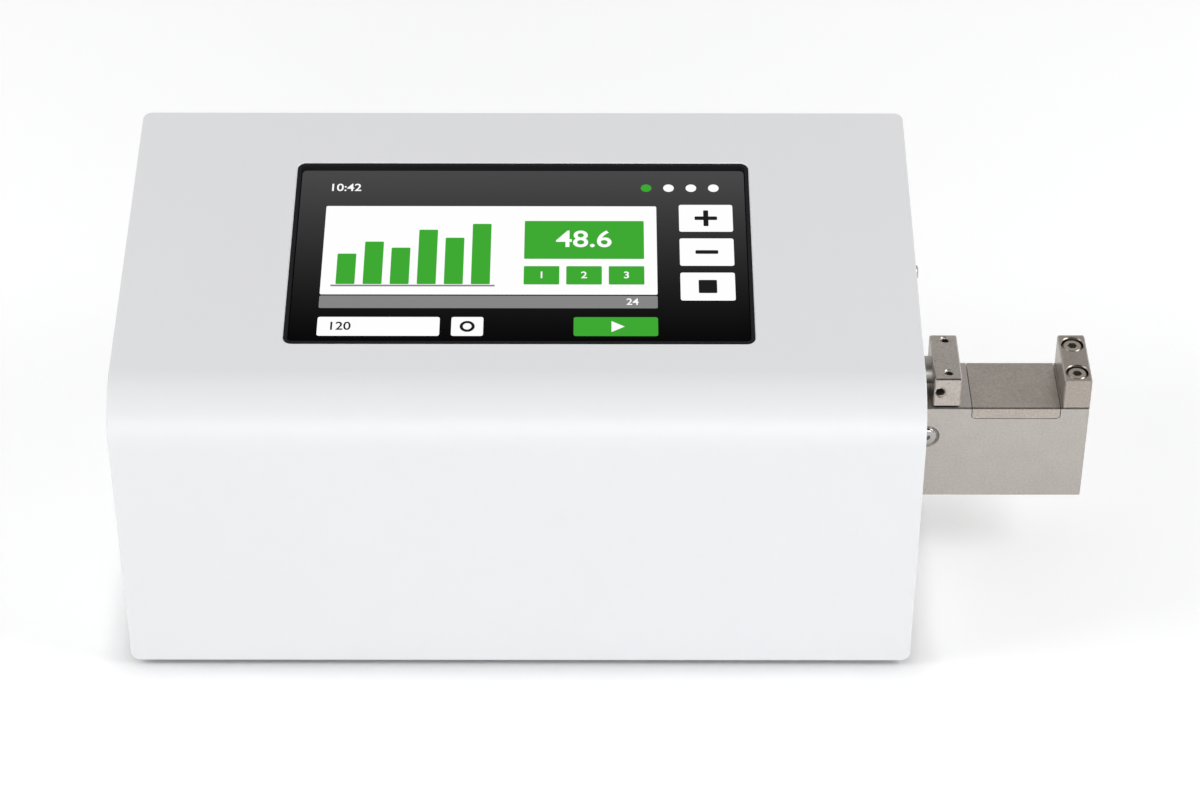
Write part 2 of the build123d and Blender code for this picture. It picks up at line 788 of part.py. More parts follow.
jaw_seat_z = fixed_jaw_top - jaw_counterbore_depth
jaw_screws = set_out(
    cap_screw(m4_cap, jaw_edge), [(x, y, jaw_seat_z) for x, y in jaw_screw_places]
)
block_screws = set_out(
    flat_screw(m4_flat), [place.offset(-block_screw_sink) for place in block_screw_places]
)

# ---------------------------------------------------------------- moving jaw and ram
jaw_front = drive_y - moving_jaw_depth / 2
jaw_back = drive_y + moving_jaw_depth / 2
jaw_top = moving_jaw_bottom + moving_jaw_height
jaw_hole_x = (moving_jaw_left + moving_jaw_right) / 2 + jaw_hole_shift
jaw_hole_y = drive_y + jaw_hole_back
jaw_hole_places = [
    (jaw_hole_x, jaw_hole_y + side * jaw_hole_pitch / 2, jaw_top) for side in (-1, 1)
]
spigot_radius = ram_spigot_diameter / 2
set_screw_x = moving_jaw_left + set_screw_inset
set_screw_z = ram_z - 0.2
set_screw_length = 5.0
set_screw_front = drive_y - spigot_radius - set_screw_length
with BuildPart() as moving_jaw:
    slab((moving_jaw_left, jaw_front, moving_jaw_bottom), (moving_jaw_right, jaw_back, jaw_top))
    chamfer(moving_jaw.edges(), jaw_edge)
    bar_x(
        spigot_radius + seat_fit,
        moving_jaw_left - 1,
        moving_jaw_left + ram_socket,
        drive_y,
        ram_z,
        Mode.SUBTRACT,
    )
    for place in jaw_hole_places:
        rimmed_bore(jaw_hole_diameter / 2, jaw_hole_depth, place, (0, 0, 1))
    rimmed_bore(
        m4_cap[0] / 2, drive_y - jaw_front, (set_screw_x, jaw_front, set_screw_z), (0, -1, 0)
    )

with BuildPart() as jaw_set_screw:
    with Locations(facing((0, -1, 0), (set_screw_x, drive_y - spigot_radius, set_screw_z))):
        Cylinder(m4_cap[0] / 2 - seat_fit, set_screw_length, align=low_align)
    with BuildSketch(facing((0, -1, 0), (set_screw_x, set_screw_front, set_screw_z))):
        RegularPolygon(1.0, 6, major_radius=False)
    extrude(amount=-2.0, mode=Mode.SUBTRACT)

# The ram ends in a spigot in the jaw and in a threaded stud in the load cell.
with BuildPart() as ram:
    bar_x(ram_radius, load_cell_right, moving_jaw_left, drive_y, ram_z)
    bar_x(spigot_radius, moving_jaw_left, moving_jaw_left + ram_socket - seam, drive_y, ram_z)
    bar_x(
        ram_stud_diameter / 2, load_cell_right - ram_stud_length, load_cell_right, drive_y, ram_z
    )

# The load cell is a block with two opposed slots and a round window, threaded at both ends.
cell_low = ram_z - load_cell_height / 2
cell_high = ram_z + load_cell_height / 2
cell_slot_reach = load_cell_height * 0.77
with BuildPart() as load_cell:
    slab(
        (load_cell_left, drive_y - load_cell_thickness / 2, cell_low),
        (load_cell_right, drive_y + load_cell_thickness / 2, cell_high),
    )
    with BuildSketch(Plane.XZ.offset(-drive_y)):
        with Locations((load_cell_left + ram_stud_length + 1, cell_low)):
            Rectangle(load_cell_slot, cell_slot_reach, align=(Align.MIN, Align.MIN))
        with Locations((load_cell_right - ram_stud_length - 1, cell_high)):
            Rectangle(load_cell_slot, cell_slot_reach, align=(Align.MAX, Align.MAX))
    extrude(amount=load_cell_thickness, both=True, mode=Mode.SUBTRACT)
    bar_x(
        ram_stud_diameter / 2 + seat_fit,
        load_cell_right - ram_stud_length - 0.5,
        load_cell_right + 1,
        drive_y,
        ram_z,
        Mode.SUBTRACT,
    )
    bar_x(
        m6_hex[0] / 2 + seat_fit,
        load_cell_left - 1,
        load_cell_left + ram_stud_length + 0.5,
        drive_y,
        ram_z,
        Mode.SUBTRACT,
    )

# The carriage joins the nut on the lead screw to the load cell above it, and rides on the rail.
carriage_bottom = bed_top + guide_block_top
carriage_step = screw_z + nut_body_diameter / 2 + 4.0
flag_x = carriage_left + carriage_length / 2
switch_back = drive_y - carriage_foot_width / 2 - 3.0
with BuildPart() as carriage:
    with BuildSketch(Plane.XZ.offset(-drive_y)):
        with BuildLine():
            Polyline(
                (carriage_left, carriage_bottom),
                (carriage_left, carriage_step),
                (load_cell_left - carriage_upright - 8, carriage_step),
                (load_cell_left - carriage_upright, carriage_step + 7),
                (load_cell_left - carriage_upright, cell_high),
                (load_cell_left, cell_high),
                (load_cell_left, carriage_bottom),
                close=True,
            )
        make_face()
    extrude(amount=carriage_width / 2, both=True)
    slab(
        (carriage_left, drive_y - carriage_foot_width / 2, carriage_bottom),
        (load_cell_left, drive_y + carriage_foot_width / 2, carriage_bottom + carriage_foot),
    )
    # Flag that passes over the limit switches.
    slab(
        (flag_x - 3, switch_back - switch_size[1] / 2, carriage_bottom + 1),
        (flag_x + 3, drive_y - carriage_foot_width / 2, carriage_bottom + 3),
    )
    bar_x(
        nut_body_diameter / 2 + seat_fit,
        carriage_left - 1,
        carriage_left + nut_body_length + 0.5,
        drive_y,
        screw_z,
        Mode.SUBTRACT,
    )
    bar_x(
        screw_diameter / 2 + 0.5, carriage_left, load_cell_left + 1, drive_y, screw_z, Mode.SUBTRACT
    )
    bar_x(
        m6_hex[0] / 2 + screw_hole,
        load_cell_left - carriage_upright - 1,
        load_cell_left + 1,
        drive_y,
        ram_z,
        Mode.SUBTRACT,
    )
    # Heads of the four screws that hold the guide block.
    fused_heads(
        m3_head,
        Plane.XY.offset(carriage_bottom + carriage_foot),
        [
            (flag_x + across * carriage_screw_pitch * 0.35, drive_y + side * carriage_screw_pitch / 2)
            for across in (-1, 1)
            for side in (-1, 1)
        ],
    )

with BuildPart() as guide_block:
    slab(
        (
            flag_x - guide_block_length / 2,
            drive_y - guide_block_width / 2,
            bed_top + guide_block_bottom,
        ),
        (
            flag_x + guide_block_length / 2,
            drive_y + guide_block_width / 2,
            carriage_bottom,
        ),
    )
    slab(
        (
            flag_x - guide_block_length,
            drive_y - rail_width / 2 - running_fit,
            bed_top + guide_block_bottom - 1,
        ),
        (
            flag_x + guide_block_length,
            drive_y + rail_width / 2 + running_fit,
            bed_top + rail_height + running_fit,
        ),
        Mode.SUBTRACT,
    )

load_cell_screw = set_out(
    hex_screw(m6_hex),
    [facing((-1, 0, 0), (load_cell_left - carriage_upright, drive_y, ram_z))],
)

with BuildPart() as lead_nut:
    bar_x(nut_flange_diameter / 2, nut_left, carriage_left, drive_y, screw_z)
    bar_x(nut_body_diameter / 2, carriage_left, carriage_left + nut_body_length, drive_y, screw_z)
    bar_x(
        screw_diameter / 2 + running_fit,
        nut_left - 1,
        load_cell_left,
        drive_y,
        screw_z,
        Mode.SUBTRACT,
    )

# ---------------------------------------------------------------- drive frame
# The guide plate carries the ram's bush and, on a boss through the side panel, the anvil's tongue.
with BuildPart() as ram_guide_plate:
    with BuildSketch(Plane.YZ.offset(plate_left)):
        upright_profile()
    extrude(amount=plate_thickness)
    slab(
        (plate_right, drive_y - boss_width / 2, boss_middle_z - boss_height / 2),
        (block_left, drive_y + boss_width / 2, boss_middle_z + boss_height / 2),
    )
    slab(
        (block_left, drive_y - tongue_width / 2, tongue_middle_z - tongue_height / 2),
        (tongue_right, drive_y + tongue_width / 2, tongue_middle_z + tongue_height / 2),
    )
    bar_x(
        bush_diameter / 2 + seat_fit, plate_left - 1, plate_right + 1, drive_y, ram_z, Mode.SUBTRACT
    )
    with Locations(facing((0, -1, 0), (right_wall + block_screw_x, drive_y, tongue_middle_z))):
        Cylinder(m4_flat[0] / 2 + seat_fit, tongue_width + 2, mode=Mode.SUBTRACT)
    bore(
        m3_button[0] / 2 + seat_fit,
        m3_button[1],
        (plate_right, top_screw_y, top_screw_z),
        (1, 0, 0),
    )
    for x, y, z in bed_end_places:
        bar_x(m5_hex[2] / 2 + 1.2, x, plate_right + 1, y, z, Mode.SUBTRACT)
        bar_x(m5_hex[0] / 2 + screw_hole, plate_left - 1, x, y, z, Mode.SUBTRACT)

with BuildPart() as left_end_plate:
    with BuildSketch(Plane.YZ.offset(left_plate_left)):
        upright_profile()
    extrude(amount=left_plate_thickness)
    slab(
        (left_plate_left, drive_y - plate_width * 0.3, base_top + 20),
        (left_plate_right, drive_y + plate_width * 0.3, base_top + 80),
        Mode.SUBTRACT,
    )

rail_left = bearing_right + 1.0
rail_right = plate_left - 4.0
with BuildPart() as drive_bed:
    slab(
        (bed_left, drive_y - plate_width / 2, base_top),
        (plate_left, drive_y + plate_width / 2, bed_top),
    )
    slab(
        (rail_left - seat_fit, drive_y - rail_width / 2 - seat_fit, bed_top - rail_groove),
        (rail_right + seat_fit, drive_y + rail_width / 2 + seat_fit, bed_top + 1),
        Mode.SUBTRACT,
    )
    for _, y, z in bed_end_places:
        bore(m5_hex[0] / 2 + seat_fit, m5_hex[1] - 7.0, (plate_left, y, z), (1, 0, 0))

# These two pull the guide plate and the bed together, against the force of the ram.
frame_screws = set_out(
    hex_screw(m5_hex), [facing((1, 0, 0), place) for place in bed_end_places]
)

with BuildPart() as ram_bush:
    bar_x(bush_flange_diameter / 2, plate_left - bush_flange, plate_left, drive_y, ram_z)
    bar_x(bush_diameter / 2, plate_left, plate_right, drive_y, ram_z)
    bar_x(
        ram_radius + running_fit,
        plate_left - bush_flange - 1,
        plate_right + 1,
        drive_y,
        ram_z,
        Mode.SUBTRACT,
    )

with BuildPart() as wiper_ring:
    bar_x(wiper_diameter / 2, plate_right, right_wall, drive_y, ram_z)
    bar_x(
        ram_radius + wiper_clearance,
        plate_right - 1,
        right_wall + 1,
        drive_y,
        ram_z,
        Mode.SUBTRACT,
    )

with BuildPart() as guide_rail:
    slab(
        (rail_left, drive_y - rail_width / 2, bed_top - rail_groove),
        (rail_right, drive_y + rail_width / 2, bed_top + rail_height),
    )
    for y in (drive_y - rail_width / 2, drive_y + rail_width / 2):
        with Locations(((rail_left + rail_right) / 2, y, bed_top + rail_height * 0.6)):
            Box(rail_right - rail_left, 1.8, 2.4, mode=Mode.SUBTRACT)
    chamfer(guide_rail.edges().filter_by(Axis.X).group_by(Axis.Z)[-1], 0.5)

with BuildPart() as bearing_plate:
    slab(
        (bearing_left, drive_y - bearing_plate_width / 2, bed_top),
        (bearing_right, drive_y + bearing_plate_width / 2, screw_z + bearing_diameter / 2 + 8),
    )
    chamfer(bearing_plate.edges().filter_by(Axis.X).group_by(Axis.Z)[-1], 8)
    slab(
        (bearing_left - bearing_foot, drive_y - bearing_plate_width / 2, bed_top),
        (bearing_left, drive_y + bearing_plate_width / 2, bed_top + bearing_foot_thickness),
    )
    bar_x(
        bearing_diameter / 2 + seat_fit,
        bearing_left - 1,
        bearing_right - bearing_shoulder,
        drive_y,
        screw_z,
        Mode.SUBTRACT,
    )
    bar_x(
        bearing_diameter / 2 - 2.5, bearing_left, bearing_right + 1, drive_y, screw_z, Mode.SUBTRACT
    )
    # Heads of the two screws in its foot.
    fused_heads(
        m5_head,
        Plane.XY.offset(bed_top + bearing_foot_thickness),
        [(bearing_screw_x, drive_y + side * foot_screw_spread) for side in (-1, 1)],
    )

with BuildPart() as bearing_shape:
    with BuildSketch():
        Circle(bearing_diameter / 2)
        Circle(journal_diameter / 2 + seat_fit, mode=Mode.SUBTRACT)
    extrude(amount=bearing_width)
screw_bearings = set_out(
    bearing_shape.part,
    [
        facing((1, 0, 0), (bearing_left + i * bearing_width, drive_y, screw_z))
        for i in range(2)
    ],
)

with BuildPart() as motor_bracket:
    slab(
        (bracket_left, drive_y - motor_size / 2, bed_top),
        (bracket_right, drive_y + motor_size / 2, screw_z + motor_size / 2),
    )
    slab(
        (bracket_right, drive_y - motor_size / 2, bed_top),
        (
            bracket_right + motor_bracket_foot,
            drive_y + motor_size / 2,
            bed_top + motor_bracket_sheet,
        ),
    )
    bar_x(
        motor_boss_diameter / 2 + screw_hole,
        bracket_left - 1,
        bracket_right + 1,
        drive_y,
        screw_z,
        Mode.SUBTRACT,
    )
    # Heads of the two screws in its foot, and of the motor's four screws.
    fused_heads(
        m5_head,
        Plane.XY.offset(bed_top + motor_bracket_sheet),
        [(bracket_screw_x, drive_y + side * foot_screw_spread) for side in (-1, 1)],
    )
    fused_heads(
        m3_head,
        Plane.YZ.offset(bracket_right),
        [
            (drive_y + side * motor_screw_square / 2, screw_z + level * motor_screw_square / 2)
            for side in (-1, 1)
            for level in (-1, 1)
        ],
    )

with BuildPart() as drive_motor:
    with BuildSketch(Plane.YZ.offset(motor_left)):
        with Locations((drive_y, screw_z)):
            Rectangle(motor_size, motor_size)
        chamfer(vertices(), 4.0)
    extrude(amount=motor_length)
    with BuildSketch(Plane.YZ.offset(motor_left + motor_length * 0.25)):
        with Locations((drive_y, screw_z)):
            Rectangle(motor_size + 2, motor_size + 2)
            Rectangle(motor_size - 0.8, motor_size - 0.8, mode=Mode.SUBTRACT)
    extrude(amount=motor_length * 0.5, mode=Mode.SUBTRACT)
    bar_x(motor_boss_diameter / 2, bracket_left, bracket_left + motor_boss, drive_y, screw_z)
    bar_x(
        motor_shaft_diameter / 2 + running_fit,
        bracket_left - motor_length / 2,
        bracket_left + motor_boss + 1,
        drive_y,
        screw_z,
        Mode.SUBTRACT,
    )

# Limit switches on the bed, just in front of the carriage's foot.
with BuildPart() as switch_shape:
    Box(*switch_size, align=low_align)
    with Locations((2.0, 0, switch_size[2] + 0.9)):
        Box(switch_size[0] - 4, 4.0, 0.5)
    with Locations((-switch_size[0] / 2 + 3.0, 0, switch_size[2])):
        Box(2.0, 3.0, 1.0, align=low_align)
limit_switches = set_out(
    switch_shape.part,
    [(flag_x + shift, switch_back - switch_size[1] / 2, bed_top) for shift in (0, stroke)],
)

# ---------------------------------------------------------------- what turns
screw_thread_left = bearing_right - bearing_shoulder
screw_right = load_cell_left + stroke - 6.0
with BuildPart() as lead_screw:
    bar_x(screw_diameter / 2, screw_thread_left, screw_right, drive_y, screw_z)
    bar_x(journal_diameter / 2, spider_right + 1, screw_thread_left, drive_y, screw_z)

with BuildPart() as bearing_nut:
    with BuildSketch(Plane.YZ.offset(bearing_left - lock_nut_width)):
        with Locations((drive_y, screw_z)):
            RegularPolygon(lock_nut_size / 2, 6, major_radius=False)
            Circle(journal_diameter / 2 + seat_fit, mode=Mode.SUBTRACT)
    extrude(amount=lock_nut_width)


def coupling_hub(start, end, jaw_start, shaft, turn):
    """A hub of the jaw coupling: a disc on its shaft, with two claws that reach into the spider."""
    with BuildPart() as hub:
        bar_x(coupling_diameter / 2, start, end, drive_y, screw_z)
        with BuildSketch(Plane.YZ.offset(jaw_start)):
            with Locations(Location((drive_y, screw_z), turn)):
                with Locations((coupling_diameter / 2 - 2.6, 0), (2.6 - coupling_diameter / 2, 0)):
                    Rectangle(4.2, 4.4)
        extrude(amount=coupling_jaw - seam)
        bar_x(shaft / 2 + seat_fit, start - 1, end + 1, drive_y, screw_z, Mode.SUBTRACT)
    return hub


screw_hub = coupling_hub(
    spider_right, screw_hub_right, spider_left + seam, journal_diameter, 0
)
motor_hub = coupling_hub(motor_hub_left, spider_left, spider_left, motor_shaft_diameter, 90)

with BuildPart() as coupling_spider:
    with BuildSketch(Plane.YZ.offset(spider_left + seam)):
        with Locations((drive_y, screw_z)):
            Rectangle(coupling_diameter - 2, 4.0, rotation=45)
            Rectangle(coupling_diameter - 2, 4.0, rotation=-45)
    extrude(amount=coupling_jaw - 2 * seam)

with BuildPart() as motor_shaft:
    bar_x(
        motor_shaft_diameter / 2,
        bracket_left - motor_length / 2 + 1,
        spider_left - 1,
        drive_y,
        screw_z,
    )

# ---------------------------------------------------------------- electronics
supply_front = inner_front + supply_gap
with BuildPart() as power_supply:
    slab(
        (housing_middle - supply_size[0] / 2, supply_front, base_top),
        (
            housing_middle + supply_size[0] / 2,
            supply_front + supply_size[1],
            base_top + supply_size[2],
        ),
    )
    chamfer(power_supply.edges().filter_by(Axis.X), 0.8)
    with BuildSketch(Plane.XZ.offset(-(supply_front + supply_size[1]))):
        with Locations((housing_middle, base_top + supply_size[2] / 2)):
            with GridLocations(8, 1, 8, 1):
                Rectangle(3, supply_size[2] * 0.5)
    extrude(amount=1.2, mode=Mode.SUBTRACT)

# The main board slides into two grooved guides on the base plate.
with BuildPart() as card_guides:
    for x in (board_left, board_right):
        slab(
            (x - card_guide[0] / 2, board_front, base_top),
            (x + card_guide[0] / 2, board_back, board_z + board_sheet + card_guide[1]),
        )
    slab(
        (board_left - seam, board_front - 1, board_z - running_fit),
        (board_right + seam, board_back + 1, board_z + board_sheet + running_fit),
        Mode.SUBTRACT,
    )

with BuildPart() as main_board:
    slab(
        (board_left, board_front, board_z),
        (board_right, board_back, board_z + board_sheet),
    )
    for x, y, size in (
        (board_left + 22, board_front + 15, (14, 14, 2)),
        (board_left + 42, board_front + 8, (9, 7, 2)),
        (board_left + 14, board_back - 11, (16, 9, 8)),
    ):
        with Locations((x, y, board_z + board_sheet)):
            Box(*size, align=low_align)

socket_back = panel_back + socket_stand
network_cavity = (11.8, 12.0, 8.0)
with BuildPart() as network_socket:
    with Locations((network_x, socket_back, board_z + board_sheet)):
        Box(*network_socket_size, align=(Align.CENTER, Align.MAX, Align.MIN))
    with Locations((network_x, socket_back, board_z + board_sheet + 2.2)):
        Box(*network_cavity, align=(Align.CENTER, Align.MAX, Align.MIN), mode=Mode.SUBTRACT)

usb_cavity = (12.5, 11.0, 5.1)
with BuildPart() as usb_socket:
    with Locations((usb_x, socket_back, board_z + board_sheet)):
        Box(*usb_socket_size, align=(Align.CENTER, Align.MAX, Align.MIN))
    with Locations(
        (usb_x, socket_back, board_z + board_sheet + 1.6),
        (usb_x, socket_back, board_z + board_sheet + 8.9),
    ):
        Box(*usb_cavity, align=(Align.CENTER, Align.MAX, Align.MIN), mode=Mode.SUBTRACT)

# ---------------------------------------------------------------- mains inlet and power switch
inlet_mouth = panel_back + inlet_flange[2]
inlet_floor = inlet_mouth - inlet_cavity[2]
with BuildPart() as mains_inlet:
    with BuildSketch(Plane.XZ.offset(-panel_back)):
        with Locations((inlet_x, inlet_middle_z)):
            Rectangle(inlet_flange[0], inlet_flange[1])
        chamfer(vertices(), 9.0)
    extrude(amount=-inlet_flange[2])
    with BuildSketch(Plane.XZ.offset(-panel_back)):
        with Locations((inlet_x, inlet_middle_z)):
            Rectangle(inlet_body[0], inlet_body[1])
    extrude(amount=inlet_body[2])
    with BuildSketch(Plane.XZ.offset(-inlet_mouth)):
        with Locations((inlet_x, inlet_middle_z)):
            Rectangle(inlet_cavity[0], inlet_cavity[1])
        chamfer(vertices().group_by(Axis.Y)[0], 4.0)
    extrude(amount=inlet_cavity[2], mode=Mode.SUBTRACT)
    with BuildSketch(Plane.XZ.offset(-inlet_floor)):
        for x, z in ((-7, -2), (0, 2), (7, -2)):
            with Locations((inlet_x + x, inlet_middle_z + z)):
                Rectangle(2, 4)
    extrude(amount=-14.0)
    for place in inlet_screw_places:
        sunk_bore(m3_flat, inlet_flange[2], place, (0, 1, 0))

inlet_screws = set_out(
    flat_screw(m3_flat), [facing((0, 1, 0), place) for place in inlet_screw_places]
)

with BuildPart() as power_switch_housing:
    with Locations((inlet_x, panel_back, switch_middle_z)):
        Box(
            rocker_frame[0],
            rocker_frame[2],
            rocker_frame[1],
            align=(Align.CENTER, Align.MIN, Align.CENTER),
        )
        Box(
            rocker_body[0],
            rocker_body[2],
            rocker_body[1],
            align=(Align.CENTER, Align.MAX, Align.CENTER),
        )
    fillet(power_switch_housing.edges().filter_by(Axis.Y).group_by(Axis.X)[0], 1.5)
    fillet(power_switch_housing.edges().filter_by(Axis.Y).group_by(Axis.X)[-1], 1.5)
    with BuildSketch(Plane.YZ.offset(inlet_x)):
        with Locations((rocker_y, switch_middle_z)):
            Circle(rocker_radius + rocker_clearance)
    extrude(amount=rocker_width / 2 + rocker_clearance, both=True, mode=Mode.SUBTRACT)

with BuildPart() as rocker_shape:
    with BuildSketch(Plane.YZ):
        Circle(rocker_radius)
        with BuildLine():
            Polyline((-6, -12), (-6, 12), (5.5, 12), (3.3, 0), (5.5, -12), close=True)
        make_face(mode=Mode.INTERSECT)
    extrude(amount=rocker_width / 2, both=True)
with BuildPart() as power_rocker:
    with Locations(Location(rocker_place, (-rocker_tilt, 0, 0))):
        add(rocker_shape.part)

# ---------------------------------------------------------------- files
pieces = {
    "front_top_cover": front_top_cover,
    "left_side_panel": left_side_panel,
    "right_side_panel": right_side_panel,
    "cover_cleats": cover_cleats,
    "rear_panel": rear_panel,
    "base_plate": base_plate,
    "rubber_feet": rubber_feet,
    "side_screw": side_screw,
    "rear_screws": rear_screws,
    "display_bezel": display_bezel,
    "touch_glass": touch_glass,
    "lcd_module": lcd_module,
    "display_bracket": display_bracket,
    "display_nuts": display_nuts,
    "processor_board": processor_board,
    "anvil_block": anvil_block,
    "tablet_platform": tablet_platform,
    "fixed_jaw": fixed_jaw,
    "jaw_screws": jaw_screws,
    "block_screws": block_screws,
    "moving_jaw": moving_jaw,
    "jaw_set_screw": jaw_set_screw,
    "ram": ram,
    "load_cell": load_cell,
    "load_cell_screw": load_cell_screw,
    "carriage": carriage,
    "lead_nut": lead_nut,
    "guide_block": guide_block,
    "drive_bed": drive_bed,
    "ram_guide_plate": ram_guide_plate,
    "left_end_plate": left_end_plate,
    "frame_screws": frame_screws,
    "ram_bush": ram_bush,
    "wiper_ring": wiper_ring,
    "guide_rail": guide_rail,
    "bearing_plate": bearing_plate,
    "screw_bearings": screw_bearings,
    "motor_bracket": motor_bracket,
    "drive_motor": drive_motor,
    "limit_switches": limit_switches,
    "lead_screw": lead_screw,
    "bearing_nut": bearing_nut,
    "screw_hub": screw_hub,
    "coupling_spider": coupling_spider,
    "motor_hub": motor_hub,
    "motor_shaft": motor_shaft,
    "main_board": main_board,
    "card_guides": card_guides,
    "power_supply": power_supply,
    "network_socket": network_socket,
    "usb_socket": usb_socket,
    "mains_inlet": mains_inlet,
    "inlet_screws": inlet_screws,
    "power_switch_housing": power_switch_housing,
    "power_rocker": power_rocker,
}
os.makedirs("parts", exist_ok=True)
for name, piece in pieces.items():
    piece.part.label = name
    export_step(piece.part, f"parts/{name}.step")
print("pieces", len(pieces))
print("jaw stroke", round(stroke, 2), "mm, lead screw turns", round(stroke / screw_lead, 2))
print("rocker pivot", [round(value, 2) for value in rocker_place])
print("ram axis y, z", round(drive_y, 2), round(ram_z, 2), "screw axis z", round(screw_z, 2))
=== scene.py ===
# %% [markdown]
# # A tablet hardness tester on a white bench
# The instrument comes ready made as a CAD frame: every solid is in place, in metres. This lesson
# gives each solid its finish, adds what a solid can't show, such as the lit screen, and sets up
# the camera and the light. Only one solid, the side screw, gives way to a better one.

import json
from math import radians

import bpy
from mathutils import Euler, Matrix, Vector


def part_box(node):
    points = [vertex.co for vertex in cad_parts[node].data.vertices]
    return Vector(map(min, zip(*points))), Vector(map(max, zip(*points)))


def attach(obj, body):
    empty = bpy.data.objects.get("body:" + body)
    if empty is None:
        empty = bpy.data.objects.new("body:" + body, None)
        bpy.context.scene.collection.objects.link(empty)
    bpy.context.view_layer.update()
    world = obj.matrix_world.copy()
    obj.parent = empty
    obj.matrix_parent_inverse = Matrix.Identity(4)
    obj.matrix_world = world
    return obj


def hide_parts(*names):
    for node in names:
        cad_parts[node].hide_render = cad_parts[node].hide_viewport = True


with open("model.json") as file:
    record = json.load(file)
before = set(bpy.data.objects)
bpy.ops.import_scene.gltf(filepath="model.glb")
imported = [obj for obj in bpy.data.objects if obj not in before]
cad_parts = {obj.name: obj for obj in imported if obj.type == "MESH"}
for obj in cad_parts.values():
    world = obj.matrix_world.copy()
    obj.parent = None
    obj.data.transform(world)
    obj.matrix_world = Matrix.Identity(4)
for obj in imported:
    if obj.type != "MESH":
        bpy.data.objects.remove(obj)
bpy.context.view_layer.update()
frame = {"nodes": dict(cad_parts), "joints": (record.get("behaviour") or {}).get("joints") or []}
nodes = frame["nodes"]

# %% [markdown]
# ## The camera
# The picture is taken with a long lens from about 1.2 m, a little above the instrument. A long
# lens keeps the upright edges almost parallel. The place and the angles were found by matching
# the housing's edges, so they are set as plain numbers here.

# %% Set up the camera
camera_place = Vector((-0.00619, -0.95451, 0.80920))
camera_pitch = 38.03  # degrees below the horizon
camera_yaw = 0.09  # degrees to the right
camera_roll = 0.12  # degrees
focal_length = 100.75  # millimetres
sensor_width = 36  # millimetres

bpy.ops.object.select_all(action="DESELECT")
bpy.ops.object.camera_add(location=camera_place)
camera = bpy.context.object
camera.name = "product_camera"
aim = Euler((radians(90 - camera_pitch), 0, radians(-camera_yaw))).to_matrix()
camera.rotation_euler = (aim @ Matrix.Rotation(radians(camera_roll), 3, "Z")).to_euler()
camera.data.lens = focal_length
camera.data.sensor_width = sensor_width
camera.data.clip_end = 20
bpy.context.scene.camera = camera
print("camera turned by", [round(v, 3) for v in camera.rotation_euler])

# %% [markdown]
# ## The studio
# A product picture has a white ground that keeps only the contact shadow. The floor is a pale
# diffuse sheet. The camera, and whatever mirrors the floor or shows it through glass, gets a
# little extra emission from it, so that it reaches white without any more light on the
# instrument. Ambient Occlusion takes that emission away where the instrument stands close over
# the floor, so the contact shadow stays dark.

# %% Make the floor
floor_size = 8.0
floor_colour = (0.86, 0.86, 0.865, 1)
floor_lift = 0.29  # emission that the camera and the mirror-like surfaces see
contact_reach = 0.014  # how far from the instrument the floor starts to darken
contact_depth = 3.0  # how steeply it does

bpy.ops.object.select_all(action="DESELECT")
bpy.ops.mesh.primitive_plane_add(size=floor_size, location=(0, 0, 0))
floor = bpy.context.object
floor.name = "studio_floor"
floor_material = bpy.data.materials.new("studio_paper")
floor_material.use_nodes = True
tree = floor_material.node_tree
sheet = tree.nodes["Principled BSDF"]
sheet.inputs["Base Color"].default_value = floor_colour
sheet.inputs["Roughness"].default_value = 0.6
rays = tree.nodes.new("ShaderNodeLightPath")
seen = tree.nodes.new("ShaderNodeMath")
seen.operation = "MAXIMUM"
seen_through = tree.nodes.new("ShaderNodeMath")
seen_through.operation = "MAXIMUM"
lift = tree.nodes.new("ShaderNodeMath")
lift.operation = "MULTIPLY"
lift.inputs[1].default_value = floor_lift
sheet.inputs["Emission Color"].default_value = (1, 1, 1, 1)
tree.links.new(rays.outputs["Is Camera Ray"], seen.inputs[0])
tree.links.new(rays.outputs["Is Glossy Ray"], seen.inputs[1])
tree.links.new(seen.outputs[0], seen_through.inputs[0])
tree.links.new(rays.outputs["Is Transmission Ray"], seen_through.inputs[1])
tree.links.new(seen_through.outputs[0], lift.inputs[0])
corner = tree.nodes.new("ShaderNodeAmbientOcclusion")
corner.inputs["Distance"].default_value = contact_reach
deepen = tree.nodes.new("ShaderNodeMath")
deepen.operation = "POWER"
deepen.inputs[1].default_value = contact_depth
hold = tree.nodes.new("ShaderNodeMath")
hold.operation = "MULTIPLY"
tree.links.new(corner.outputs["AO"], deepen.inputs[0])
tree.links.new(lift.outputs[0], hold.inputs[0])
tree.links.new(deepen.outputs[0], hold.inputs[1])
tree.links.new(hold.outputs[0], sheet.inputs["Emission Strength"])
floor.data.materials.append(floor_material)
print("floor", floor_size, "m square")

# %% [markdown]
# Metal has to see something, so the world is brighter near the horizon than overhead: steel that
# faces up then turns darker than upright steel, which mirrors the floor. The room above and
# behind the camera is unlit. Bevelled top edges mirror that part of the room, and show as thin
# dark lines. The camera itself sees the world as plain white.

# %% Light the room
horizon_light = 0.93
overhead_light = 0.50
overhead_from = 0.9  # height on a sphere of radius 1
unlit_light = 0.02  # share that is left in the unlit part
unlit_middle = Vector((0, -0.62, 0.78)).normalized()
unlit_rim = 0.74  # cosine of the angle to its middle where it starts
unlit_core = 0.93  # and where it is darkest

